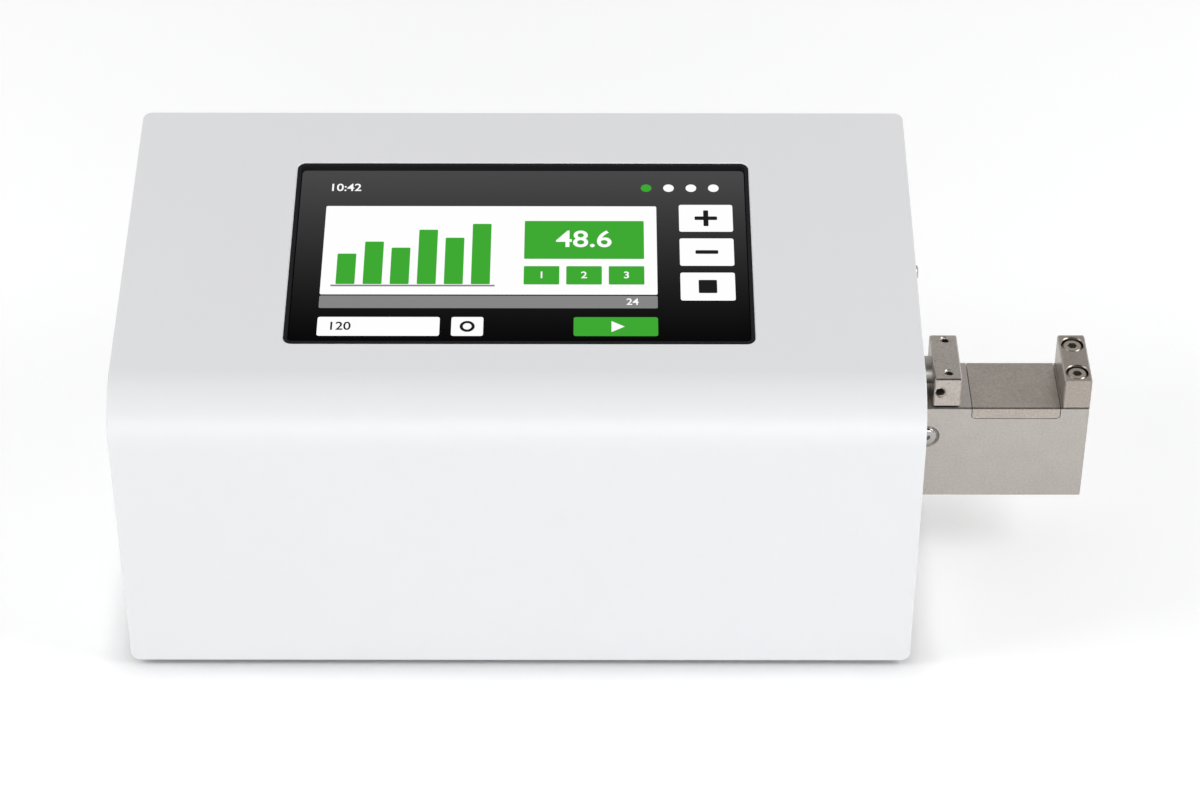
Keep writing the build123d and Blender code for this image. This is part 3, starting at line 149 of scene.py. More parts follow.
world = bpy.data.worlds.new("studio_room")
bpy.context.scene.world = world
world.use_nodes = True
sky = world.node_tree
room = sky.nodes["Background"]
direction = sky.nodes.new("ShaderNodeTexCoord")
split = sky.nodes.new("ShaderNodeSeparateXYZ")
height = sky.nodes.new("ShaderNodeMapRange")
height.interpolation_type = "SMOOTHSTEP"
height.inputs["From Min"].default_value = 0.0
height.inputs["From Max"].default_value = overhead_from
height.inputs["To Min"].default_value = horizon_light
height.inputs["To Max"].default_value = overhead_light
toward = sky.nodes.new("ShaderNodeVectorMath")
toward.operation = "DOT_PRODUCT"
toward.inputs[1].default_value = unlit_middle
unlit = sky.nodes.new("ShaderNodeMapRange")
unlit.interpolation_type = "SMOOTHSTEP"
unlit.inputs["From Min"].default_value = unlit_rim
unlit.inputs["From Max"].default_value = unlit_core
unlit.inputs["To Min"].default_value = 1.0
unlit.inputs["To Max"].default_value = unlit_light
level = sky.nodes.new("ShaderNodeMath")
level.operation = "MULTIPLY"
room_rays = sky.nodes.new("ShaderNodeLightPath")
white = sky.nodes.new("ShaderNodeMix")
white.inputs["B"].default_value = 1.0
sky.links.new(direction.outputs["Generated"], split.inputs[0])
sky.links.new(split.outputs["Z"], height.inputs["Value"])
sky.links.new(direction.outputs["Generated"], toward.inputs[0])
sky.links.new(toward.outputs["Value"], unlit.inputs["Value"])
sky.links.new(height.outputs["Result"], level.inputs[0])
sky.links.new(unlit.outputs["Result"], level.inputs[1])
sky.links.new(room_rays.outputs["Is Camera Ray"], white.inputs["Factor"])
sky.links.new(level.outputs[0], white.inputs["A"])
sky.links.new(white.outputs["Result"], room.inputs["Strength"])
room.inputs["Color"].default_value = (1, 1, 1, 1)


def softbox(name, place, aim_at, width, height, power):
    """A rectangular lamp that looks at a point."""
    bpy.ops.object.select_all(action="DESELECT")
    bpy.ops.object.light_add(type="AREA", location=place)
    lamp = bpy.context.object
    lamp.name = name
    lamp.data.shape = "RECTANGLE"
    lamp.data.size = width
    lamp.data.size_y = height
    lamp.data.energy = power
    away = Vector(place) - Vector(aim_at)
    lamp.rotation_euler = away.to_track_quat("Z", "Y").to_euler()
    print(name, "at", [round(v, 2) for v in place], power, "W")
    return lamp


# A wide, low and slightly cool lamp in front, and a square one on either side.
front_softbox = softbox("front_softbox", place=(0.25, -1.9, 0.40), aim_at=(0, 0, 0.07),
                        width=1.8, height=0.5, power=15.5)
front_softbox.data.color = (0.955, 0.98, 1.0)
for name, side in (("left_softbox", -1), ("right_softbox", 1)):
    softbox(name, place=(side * 1.17, -0.22, 0.95), aim_at=(0, 0, 0.08),
            width=0.6, height=0.6, power=6.5)
bpy.context.scene.view_settings.view_transform = "Standard"

# %% [markdown]
# ## Finishes
# A real surface is never one flat colour. Each finish below starts from a Principled shader and
# adds noise in the piece's own coordinates: a slow one that shifts the colour a little, and a
# fine one that adds speckle and drives the bump and the roughness. Only the pattern's size, its
# strength and the colours change from one finish to the next.


# %% Build a finish
def finish(title, colour, roughness, metallic=0.0, mottle=0.03, mottle_size=0.03, grain=0.0003,
           bump=0.1, depth=0.00004, stretch=(1, 1, 1), specular=0.5, coat=0.0, wear=0.04,
           speckle=0.3):
    """A material whose colour, roughness and surface vary at the sizes given, in metres."""
    material = bpy.data.materials.new(title)
    material.use_nodes = True
    tree = material.node_tree
    surface = tree.nodes["Principled BSDF"]
    surface.inputs["Metallic"].default_value = metallic
    surface.inputs["Specular IOR Level"].default_value = specular
    surface.inputs["Coat Weight"].default_value = coat
    place = tree.nodes.new("ShaderNodeTexCoord")
    mapping = tree.nodes.new("ShaderNodeMapping")
    mapping.inputs["Scale"].default_value = stretch
    tree.links.new(place.outputs["Object"], mapping.inputs["Vector"])
    cloud = tree.nodes.new("ShaderNodeTexNoise")
    cloud.inputs["Scale"].default_value = 1 / mottle_size
    cloud.inputs["Detail"].default_value = 3
    tree.links.new(mapping.outputs[0], cloud.inputs["Vector"])
    fine = tree.nodes.new("ShaderNodeTexNoise")
    fine.inputs["Scale"].default_value = 1 / grain
    fine.inputs["Detail"].default_value = 2
    tree.links.new(mapping.outputs[0], fine.inputs["Vector"])
    # The colour follows the slow noise, with a share of the fine one.
    both = tree.nodes.new("ShaderNodeMix")
    both.inputs["Factor"].default_value = speckle
    tree.links.new(cloud.outputs["Fac"], both.inputs["A"])
    tree.links.new(fine.outputs["Fac"], both.inputs["B"])
    tint = tree.nodes.new("ShaderNodeMix")
    tint.data_type = "RGBA"
    tint.inputs["A"].default_value = (*[c * (1 - mottle) for c in colour], 1)
    tint.inputs["B"].default_value = (*[min(1, c * (1 + mottle)) for c in colour], 1)
    tree.links.new(both.outputs["Result"], tint.inputs["Factor"])
    tree.links.new(tint.outputs["Result"], surface.inputs["Base Color"])
    # The roughness and the relief follow the fine noise.
    shine = tree.nodes.new("ShaderNodeMapRange")
    shine.inputs["To Min"].default_value = max(0.02, roughness - wear)
    shine.inputs["To Max"].default_value = min(1, roughness + wear)
    relief = tree.nodes.new("ShaderNodeBump")
    relief.inputs["Strength"].default_value = bump
    relief.inputs["Distance"].default_value = depth
    tree.links.new(fine.outputs["Fac"], shine.inputs["Value"])
    tree.links.new(shine.outputs["Result"], surface.inputs["Roughness"])
    tree.links.new(fine.outputs["Fac"], relief.inputs["Height"])
    tree.links.new(relief.outputs["Normal"], surface.inputs["Normal"])
    print("finish", title)
    return material


def metal(title, colour, roughness, **pattern):
    """A finish of bare metal."""
    return finish(title, colour, roughness, metallic=1.0, **pattern)


def dress(material, *names):
    """The material takes the place of whatever the CAD solids had."""
    for name in names:
        slots = nodes[name].data.materials
        slots.clear()
        slots.append(material)


# %% [markdown]
# ### Powder coat
# The housing is sprayed with light grey powder and baked. It is smooth from afar, and close up it
# has the faint waviness of an orange's skin, about half a millimetre across.

# %% Coat the housing
powder_coat = finish("light_grey_powder_coat", (0.78, 0.78, 0.79), 0.42, mottle=0.008,
                     mottle_size=0.05, grain=0.0006, bump=0.12, depth=0.00003, wear=0.03)
dress(powder_coat, "front_top_cover", "left_side_panel", "right_side_panel", "rear_panel")

# %% [markdown]
# ### Steel and aluminium
# The anvil, its platform and the jaws are blasted stainless steel, a little warm in colour. The
# ram is ground, which leaves it satin. Screws are plated or plain, and the drive inside is plain
# machined metal.
# A turned or ground part has fine lines along one direction, so its noise is stretched.

# %% Finish the metal
blasted = metal("blasted_steel", (0.470, 0.437, 0.404), 0.34, mottle=0.28, mottle_size=0.008,
                grain=0.0008, bump=0.2, wear=0.07, speckle=0.75)
platform_steel = metal("platform_steel", (0.450, 0.404, 0.362), 0.35, mottle=0.45,
                       mottle_size=0.008, grain=0.0008, bump=0.2, wear=0.08, speckle=0.7)
jaw_steel = metal("jaw_steel", (0.475, 0.430, 0.393), 0.30, mottle=0.36, mottle_size=0.006,
                  grain=0.0008, bump=0.2, wear=0.07, speckle=0.75)
darker_jaw = metal("fixed_jaw_steel", (0.390, 0.345, 0.308), 0.32, mottle=0.38,
                   mottle_size=0.006, grain=0.0008, bump=0.2, wear=0.07, speckle=0.75)
polished = metal("polished_steel", (0.50, 0.48, 0.46), 0.16, mottle=0.02, mottle_size=0.004,
                 bump=0.08, stretch=(8, 1, 1))
ground = metal("ground_steel", (0.40, 0.38, 0.35), 0.42, mottle=0.10, mottle_size=0.003,
               grain=0.0006, stretch=(3, 1, 1), wear=0.06, speckle=0.5)
screw_steel = metal("screw_steel", (0.50, 0.49, 0.48), 0.26, mottle=0.05, mottle_size=0.002,
                    grain=0.0002)
bright_screw = metal("polished_screw", (0.42, 0.41, 0.40), 0.12, mottle=0.06, mottle_size=0.001,
                     grain=0.0005, bump=0.05, wear=0.05)
dull_screw = metal("dull_screw", (0.42, 0.385, 0.335), 0.33, mottle=0.12, mottle_size=0.002,
                   grain=0.0006, wear=0.06)
machined = metal("machined_aluminium", (0.66, 0.67, 0.68), 0.34, mottle_size=0.01, grain=0.0004,
                 bump=0.2, stretch=(1, 6, 1))
zinc_sheet = metal("zinc_plated_sheet", (0.60, 0.60, 0.62), 0.38, mottle=0.08, mottle_size=0.008,
                   grain=0.001)
brass = metal("machined_brass", (0.60, 0.42, 0.20), 0.28, mottle=0.05, mottle_size=0.004,
              stretch=(1, 4, 4))
dress(blasted, "anvil_block")
dress(platform_steel, "tablet_platform")
dress(jaw_steel, "moving_jaw")
dress(darker_jaw, "fixed_jaw")
dress(polished, "guide_rail", "motor_shaft", "lead_screw", "screw_bearings")
dress(ground, "ram")
dress(screw_steel, "side_screw", "rear_screws", "display_nuts", "frame_screws",
      "load_cell_screw", "bearing_nut", "inlet_screws")
dress(dull_screw, "jaw_screws", "jaw_set_screw")
dress(bright_screw, "block_screws")
dress(machined, "base_plate", "drive_bed", "ram_guide_plate", "left_end_plate", "bearing_plate",
      "motor_bracket", "carriage", "load_cell", "guide_block", "screw_hub", "motor_hub")
dress(zinc_sheet, "cover_cleats", "display_bracket", "lcd_module", "power_supply",
      "network_socket", "usb_socket")
dress(brass, "lead_nut", "ram_bush")

# %% [markdown]
# ### Plastic, rubber and boards
# The bezel and the rear fittings are black moulded plastic with a fine spark-eroded grain. Rubber
# is duller still. Circuit boards are green, with a slow mottle where the copper shows through.

# %% Finish the plastic and the rubber
moulded = finish("black_moulded_plastic", (0.018, 0.018, 0.019), 0.45, mottle=0.1,
                 mottle_size=0.01, bump=0.25)
gloss_black = finish("black_gloss_plastic", (0.02, 0.02, 0.021), 0.22, mottle=0.1,
                     mottle_size=0.01, grain=0.0008, bump=0.05, coat=0.2)
rubber = finish("black_rubber", (0.022, 0.022, 0.022), 0.75, mottle=0.15, mottle_size=0.004,
                grain=0.0005, bump=0.4, depth=0.00006, specular=0.3)
red_rubber = finish("red_elastomer", (0.45, 0.05, 0.03), 0.6, mottle=0.1, mottle_size=0.004,
                    grain=0.0005, bump=0.3)
board = finish("green_circuit_board", (0.02, 0.14, 0.06), 0.35, mottle=0.35, mottle_size=0.003,
               grain=0.0008, bump=0.3, coat=0.3)
motor_paint = finish("black_motor_paint", (0.03, 0.03, 0.032), 0.5, mottle=0.1,
                     mottle_size=0.01, grain=0.0005, bump=0.2)
bezel_black = finish("satin_black_bezel", (0.0150, 0.0146, 0.0170), 0.45, mottle=0.1,
                     mottle_size=0.01, grain=0.0004, bump=0.12, specular=0.05)
dress(bezel_black, "display_bezel")
dress(moulded, "limit_switches", "card_guides", "mains_inlet", "power_switch_housing")
dress(gloss_black, "power_rocker")
dress(rubber, "rubber_feet", "wiper_ring")
dress(red_rubber, "coupling_spider")
dress(board, "processor_board", "main_board")
dress(motor_paint, "drive_motor")

# %% [markdown]
# ## Rounded sheets
# Many of the pieces that follow are thin sheets with rounded corners. A plane is scaled, its four
# corners are bevelled, and the face is extruded. An operator works on all that is selected, so
# each new piece starts with nothing else selected.

# %% Make a rounded sheet
def start_piece(name):
    """The primitive that was just added becomes a piece, with its size applied."""
    piece = bpy.context.object
    piece.name = name
    bpy.ops.object.transform_apply(location=True, rotation=True, scale=True)
    return piece


def close_up():
    """Back to object mode, with every face pointing outwards."""
    bpy.ops.mesh.select_all(action="SELECT")
    bpy.ops.mesh.normals_make_consistent(inside=False)
    bpy.ops.object.mode_set(mode="OBJECT")


def rounded_sheet(width, depth, corner, thickness, place=(0, 0, 0)):
    """A thin plate with rounded corners. It stays in edit mode, with its upper face selected."""
    bpy.ops.object.select_all(action="DESELECT")
    bpy.ops.mesh.primitive_plane_add(size=1, location=place)
    bpy.context.object.scale = (width, depth, 1)
    sheet = start_piece("sheet")
    bpy.ops.object.mode_set(mode="EDIT")
    bpy.ops.mesh.select_all(action="SELECT")
    bpy.ops.mesh.bevel(offset=corner, segments=3, affect="VERTICES")
    bpy.ops.mesh.select_all(action="SELECT")
    bpy.ops.mesh.extrude_region_move(TRANSFORM_OT_translate={"value": (0, 0, thickness)})
    return sheet


# %% [markdown]
# ## The touch screen
# The glass is almost black and has an anti-reflective coat, so it mirrors little. The picture
# behind it is light that comes out of the panel. Such a picture is a thin sheet with an emission
# colour, laid on the glass, and every symbol is a thin plate a hair above it. They are modelled
# flat around the origin and then laid onto the glass in one move.

# %% Find the screen's place
top_slope = radians(9.14)
glass_thickness = 0.0015
glass_low, glass_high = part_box("touch_glass")
screen_tilt = Matrix.Rotation(top_slope, 4, "X")
glass_normal = screen_tilt @ Vector((0, 0, 1))
screen_middle = (glass_low + glass_high) / 2 + glass_normal * glass_thickness / 2
screen_frame = Matrix.Translation(screen_middle) @ screen_tilt
screen_width = 0.1580
screen_height = 0.0866
print("screen middle", [round(v, 4) for v in screen_middle])


# %% Make light that shines through glass
def coated_glass(title, blue=0.0008):
    """Almost black glass that mirrors little."""
    return finish(title, (0.0008, 0.0008, blue), 0.08, mottle=0.1, mottle_size=0.05,
                  grain=0.004, bump=0.01, specular=0.02, wear=0.02)


def lit(title, colour):
    """Emission behind coated glass, with the faint unevenness of a back light."""
    material = coated_glass(title)
    tree = material.node_tree
    surface = tree.nodes["Principled BSDF"]
    surface.inputs["Emission Strength"].default_value = 1.0
    place = tree.nodes.new("ShaderNodeTexCoord")
    uneven = tree.nodes.new("ShaderNodeTexNoise")
    uneven.inputs["Scale"].default_value = 14
    level = tree.nodes.new("ShaderNodeMix")
    level.data_type = "RGBA"
    level.inputs["A"].default_value = (*[c * 0.98 for c in colour], 1)
    level.inputs["B"].default_value = (*colour, 1)
    tree.links.new(place.outputs["Object"], uneven.inputs["Vector"])
    tree.links.new(uneven.outputs["Fac"], level.inputs["Factor"])
    tree.links.new(level.outputs["Result"], surface.inputs["Emission Color"])
    return material


dress(coated_glass("dark_coated_glass", blue=0.0009), "touch_glass")
screen_white = lit("screen_white", (1.0, 1.0, 1.0))
screen_green = lit("screen_green", (0.047, 0.402, 0.031))
screen_grey = lit("screen_grey", (0.242, 0.242, 0.242))
screen_ink = lit("screen_ink", (0.012, 0.012, 0.012))

# The ground of the picture fades from dark grey at the top to black at the bottom.
ground_top = (0.070, 0.070, 0.072)
ground_bottom = (0.0005, 0.0005, 0.0005)
ground_fade = 1.7  # above 1, the dark part is the larger one
screen_ground = lit("screen_ground", ground_top)
tree = screen_ground.node_tree
surface = tree.nodes["Principled BSDF"]
place = tree.nodes.new("ShaderNodeTexCoord")
split = tree.nodes.new("ShaderNodeSeparateXYZ")
fade = tree.nodes.new("ShaderNodeMapRange")
fade.inputs["From Min"].default_value = glass_low.y
fade.inputs["From Max"].default_value = glass_high.y
shade = tree.nodes.new("ShaderNodeMix")
shade.data_type = "RGBA"
shade.inputs["A"].default_value = (*ground_bottom, 1)
shade.inputs["B"].default_value = (*ground_top, 1)
curve = tree.nodes.new("ShaderNodeMath")
curve.operation = "POWER"
curve.inputs[1].default_value = ground_fade
tree.links.new(place.outputs["Object"], split.inputs[0])
tree.links.new(split.outputs["Y"], fade.inputs["Value"])
tree.links.new(fade.outputs["Result"], curve.inputs[0])
tree.links.new(curve.outputs[0], shade.inputs["Factor"])
tree.links.new(shade.outputs["Result"], surface.inputs["Emission Color"])

# %% [markdown]
# ### Plates and numerals
# Every plate of the picture is the same kind of thing: a rectangle with rounded corners, a few
# hundredths of a millimetre thick. A numeral starts as a text object and is turned into a mesh.

# %% Make plates and numerals
mm = 0.001
plate_thickness = 0.03 * mm
numeral_weight = 0.012  # how much its outline is widened, as a share of its size
screen_pieces = []


def add_to_screen(piece, material):
    """The piece becomes a part of the picture."""
    piece.data.materials.clear()
    piece.data.materials.append(material)
    screen_pieces.append(piece)


def plate(x, u, width, height, layer, material, corner=0.4 * mm):
    """A thin plate on the screen, its middle at x and u, on a layer above the glass."""
    piece = rounded_sheet(width, height, corner, plate_thickness, (x, u, plate_thickness * layer))
    close_up()
    add_to_screen(piece, material)


def disc(x, u, radius, layer, material, sides=40, turn=0.0):
    """A round or many-sided plate."""
    bpy.ops.object.select_all(action="DESELECT")
    bpy.ops.mesh.primitive_circle_add(
        vertices=sides, radius=radius, fill_type="NGON", location=(x, u, plate_thickness * layer),
        rotation=(0, 0, radians(turn)),
    )
    piece = start_piece("disc")
    bpy.ops.object.mode_set(mode="EDIT")
    bpy.ops.mesh.select_all(action="SELECT")
    bpy.ops.mesh.extrude_region_move(TRANSFORM_OT_translate={"value": (0, 0, plate_thickness)})
    close_up()
    add_to_screen(piece, material)


def numeral(text, x, u, size, layer, material, align="LEFT"):
    """Plain digits on the screen."""
    bpy.ops.object.select_all(action="DESELECT")
    bpy.ops.object.text_add(location=(x, u, plate_thickness * layer))
    letters = bpy.context.object.data
    letters.body = text
    letters.size = size
    letters.align_x = align
    letters.align_y = "CENTER"
    letters.extrude = plate_thickness / 2
    letters.offset = size * numeral_weight
    bpy.ops.object.convert(target="MESH")
    add_to_screen(start_piece("numeral"), material)


# %% [markdown]
# ### The picture on the screen
# The instrument shows the run of a test: bars for the last tablets, the newest reading on a green
# tile, three keys on the right, and a start key below. Only plain numbers are written.

# %% Lay out the picture
top_row = 34.4 * mm
bottom_row = -34.4 * mm
sheet_middle = -11 * mm
sheet_width = 117 * mm
reading_middle = 22 * mm
key_column = 65 * mm
key_heights = [(19 - step * 17) * mm for step in range(3)]
field_height = 9 * mm
soft_corner = 0.8 * mm

plate(0, 0, screen_width, screen_height, 0, screen_ground, corner=1.5 * mm)

# Top row: the time, and four state lights.
numeral("10:42", -69 * mm, top_row, 5.2 * mm, 1, screen_white)
for step in range(4):
    disc((44 + step * 8) * mm, top_row, 1.9 * mm, 1, screen_green if step == 0 else screen_white)

# The sheet, with a grey foot that counts the tablets.
plate(sheet_middle, 3 * mm, sheet_width, 44 * mm, 1, screen_white, corner=0.6 * mm)
plate(sheet_middle, -22.6 * mm, sheet_width, 6 * mm, 1, screen_grey, corner=0.6 * mm)
numeral("24", 41 * mm, -22.6 * mm, 4.4 * mm, 2, screen_white, "RIGHT")

# Bars for the last tablets, on a thin line.
bar_heights = (15, 21, 18, 27, 23, 30)
bar_foot = -14 * mm
for step, bar in enumerate(bar_heights):
    plate((-61 + step * 9.4) * mm, bar_foot + bar / 2 * mm, 6.6 * mm, bar * mm, 2, screen_green)
plate(-37.5 * mm, bar_foot - 0.7 * mm, 57 * mm, 0.8 * mm, 2, screen_grey, corner=0.1 * mm)

# The newest reading, and three small tiles below it.
plate(reading_middle, 8 * mm, 42 * mm, 19 * mm, 2, screen_green)
numeral("48.6", reading_middle, 8 * mm, 11.5 * mm, 3, screen_white, "CENTER")
for step in range(3):
    tile_x = (7.2 + step * 14.8) * mm
    plate(tile_x, -9.6 * mm, 12.4 * mm, 9 * mm, 2, screen_green)
    numeral(str(step + 1), tile_x, -9.6 * mm, 4.6 * mm, 3, screen_white, "CENTER")

# Keys on the right: more, less, and stop.
for key_height in key_heights:
    plate(key_column, key_height, 19 * mm, 13.6 * mm, 1, screen_white, corner=soft_corner)
plate(key_column, key_heights[0], 8 * mm, 1.8 * mm, 2, screen_ink)
plate(key_column, key_heights[0], 1.8 * mm, 8 * mm, 2, screen_ink)
plate(key_column, key_heights[1], 8 * mm, 1.8 * mm, 2, screen_ink)
plate(key_column, key_heights[2], 6.4 * mm, 6.4 * mm, 2, screen_ink)

# Bottom row: a field for the count, a round key, and the green start key.
plate(-48.5 * mm, bottom_row, 42 * mm, field_height, 1, screen_white, corner=soft_corner)
numeral("120", -66 * mm, bottom_row, 5.4 * mm, 2, screen_ink)
plate(-18 * mm, bottom_row, 11 * mm, field_height, 1, screen_white, corner=soft_corner)
disc(-18 * mm, bottom_row, 2.6 * mm, 2, screen_ink)
disc(-18 * mm, bottom_row, 1.5 * mm, 3, screen_white)
plate(33 * mm, bottom_row, 29 * mm, field_height, 1, screen_green, corner=soft_corner)
disc(33 * mm, bottom_row, 3.0 * mm, 2, screen_white, sides=3, turn=-90)

# %% Lay the picture on the glass
bpy.ops.object.select_all(action="DESELECT")
for piece in screen_pieces:
    piece.select_set(True)
bpy.context.view_layer.objects.active = screen_pieces[0]
bpy.ops.object.join()
screen_picture = bpy.context.object
screen_picture.name = "screen_picture"
screen_picture.matrix_world = screen_frame
bpy.ops.object.transform_apply(location=True, rotation=True, scale=True)
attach(screen_picture, "housing")
print("screen picture", len(screen_picture.data.polygons), "faces")

# %% [markdown]
# ## Small pieces
# The rest are details that the solids leave out. Each is modelled around the origin, and is then
# moved to its place on the instrument. Faces, edges and points are picked by where they lie
# before each step. What repeats is modelled once and copied.

# %% Pick faces, edges or points by their place
def pick(piece, wanted, kind="FACE"):
    """Edit mode, with only the faces, edges or points selected whose middle passes the test."""
    bpy.ops.object.mode_set(mode="EDIT")
    bpy.ops.mesh.select_mode(type=kind)
    bpy.ops.mesh.select_all(action="DESELECT")
    bpy.ops.object.mode_set(mode="OBJECT")
    points = piece.data.vertices
    if kind == "VERT":
        for point in points:
            point.select = wanted(point.co)
    for item in {"FACE": piece.data.polygons, "EDGE": piece.data.edges}.get(kind, ()):
        middle = sum((points[i].co for i in item.vertices), Vector()) / len(item.vertices)
        item.select = wanted(middle)
    bpy.ops.object.mode_set(mode="EDIT")


# %% Copy a piece
def another(piece, move):
    """A copy with its own mesh, moved."""
    bpy.ops.object.select_all(action="DESELECT")
    piece.select_set(True)
    bpy.context.view_layer.objects.active = piece
    bpy.ops.object.duplicate(linked=False)
    bpy.ops.transform.translate(value=move)
    bpy.ops.object.transform_apply(location=True, rotation=True, scale=True)
    return bpy.context.object


# %% Fit a piece
def fit(name, parts, place, material, body):
    """Join the parts, put them in place, and give them a finish and a body to move with."""
    bpy.ops.object.select_all(action="DESELECT")
    for part in parts:
        part.select_set(True)
    bpy.context.view_layer.objects.active = parts[0]
    if len(parts) > 1:
        bpy.ops.object.join()
    piece = bpy.context.object
    piece.name = name
    piece.matrix_world = place
    bpy.ops.object.transform_apply(location=True, rotation=True, scale=True)
    piece.data.materials.clear()
    piece.data.materials.append(material)
    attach(piece, body)
    low = [round(min(v.co[i] for v in piece.data.vertices), 4) for i in range(3)]
    high = [round(max(v.co[i] for v in piece.data.vertices), 4) for i in range(3)]
    print(name, len(piece.data.polygons), "faces, from", low, "to", high)
    return piece


# %% [markdown]
# ### Round screw heads
# A round-head screw with a hexagon socket holds the right side panel, and one sits in the front
# and one in the rear of the anvil block. A cylinder's top edge gets a wide bevel in many steps,
# which makes the dome. The socket is a boolean cut, because a hexagon doesn't fall on the edges of
# a round face.

# %% Make a round head
def round_head(name, radius, height, rounding, socket):
    """A dome on the ground with a hexagon socket, its axis upwards."""
    bpy.ops.object.select_all(action="DESELECT")
    bpy.ops.mesh.primitive_cylinder_add(
        vertices=48, radius=radius, depth=height, location=(0, 0, height / 2)
    )
    head = start_piece(name)
    pick(head, lambda p: p.z > height * 0.99 and p.xy.length > radius * 0.9, "EDGE")
    bpy.ops.mesh.bevel(offset=rounding, segments=7, profile=0.5)
    close_up()
    bpy.ops.object.select_all(action="DESELECT")
    bpy.ops.mesh.primitive_cylinder_add(
        vertices=6, radius=socket, depth=1.6 * height, location=(0, 0, height)
    )
    cutter = start_piece("socket_cutter")
    bpy.context.view_layer.objects.active = head
    cut = head.modifiers.new("socket", "BOOLEAN")
    cut.operation = "DIFFERENCE"
    cut.solver = "EXACT"
    cut.object = cutter
    bpy.ops.object.modifier_apply(modifier="socket")
    bpy.data.objects.remove(cutter)
    return head


# %% Make the side screw
# The shank is an inset of the lower face that is pulled down, and so is its tip.
side_head = round_head("side_screw_head", radius=2.85 * mm, height=1.65 * mm,
                       rounding=1.2 * mm, socket=1.155 * mm)
shank_inset = 1.35 * mm
shank_length = 7.6 * mm
shank_tip = 0.4 * mm
pick(side_head, lambda p: p.z < 0.01 * mm and p.xy.length < 0.1 * mm)
bpy.ops.mesh.inset(thickness=shank_inset)
bpy.ops.mesh.extrude_region_move(TRANSFORM_OT_translate={"value": (0, 0, -shank_length)})
bpy.ops.mesh.inset(thickness=shank_tip)
bpy.ops.transform.translate(value=(0, 0, -shank_tip))
close_up()
screw_low, screw_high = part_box("side_screw")
panel_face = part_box("right_side_panel")[1].x
screw_place = Matrix.Translation(
    (panel_face, (screw_low.y + screw_high.y) / 2, (screw_low.z + screw_high.z) / 2)
) @ Matrix.Rotation(radians(90), 4, "Y")
fit("side_screw_head", [side_head], screw_place, bright_screw, "housing")
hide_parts("side_screw")
bpy.ops.object.shade_smooth_by_angle(angle=radians(35))

# %% Make the block's screws
block_low, block_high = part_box("anvil_block")
head_low, head_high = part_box("block_screws")
print("block from", round(block_low.y, 4), "to", round(block_high.y, 4))
front_dome = round_head("front_block_dome", radius=3.85 * mm, height=1.4 * mm,
                        rounding=1.39 * mm, socket=1.44 * mm)
rear_dome = another(front_dome, (0, 0, 0))
for name, dome, face, turn in (
    ("front_block_dome", front_dome, head_low.y, 90),
    ("rear_block_dome", rear_dome, head_high.y, -90),
):
    place = Matrix.Translation(
        ((head_low.x + head_high.x) / 2, face, (head_low.z + head_high.z) / 2)
    ) @ Matrix.Rotation(radians(turn), 4, "X")
    fit(name, [dome], place, bright_screw, "housing")
    bpy.ops.object.shade_smooth_by_angle(angle=radians(35))

# %% [markdown]
# ### Threads in the moving jaw
# Three holes of the jaw are tapped. Seen from above, their walls show the thread as fine bright
# and dark turns. A single V is drawn as two edges, the Screw modifier winds it down the hole, and
# two cuts trim it to the hole's length. The upper cut's edge is spread into the solid, so that no
# gap is left around the first turn. A Solidify modifier gives the wall some thickness.

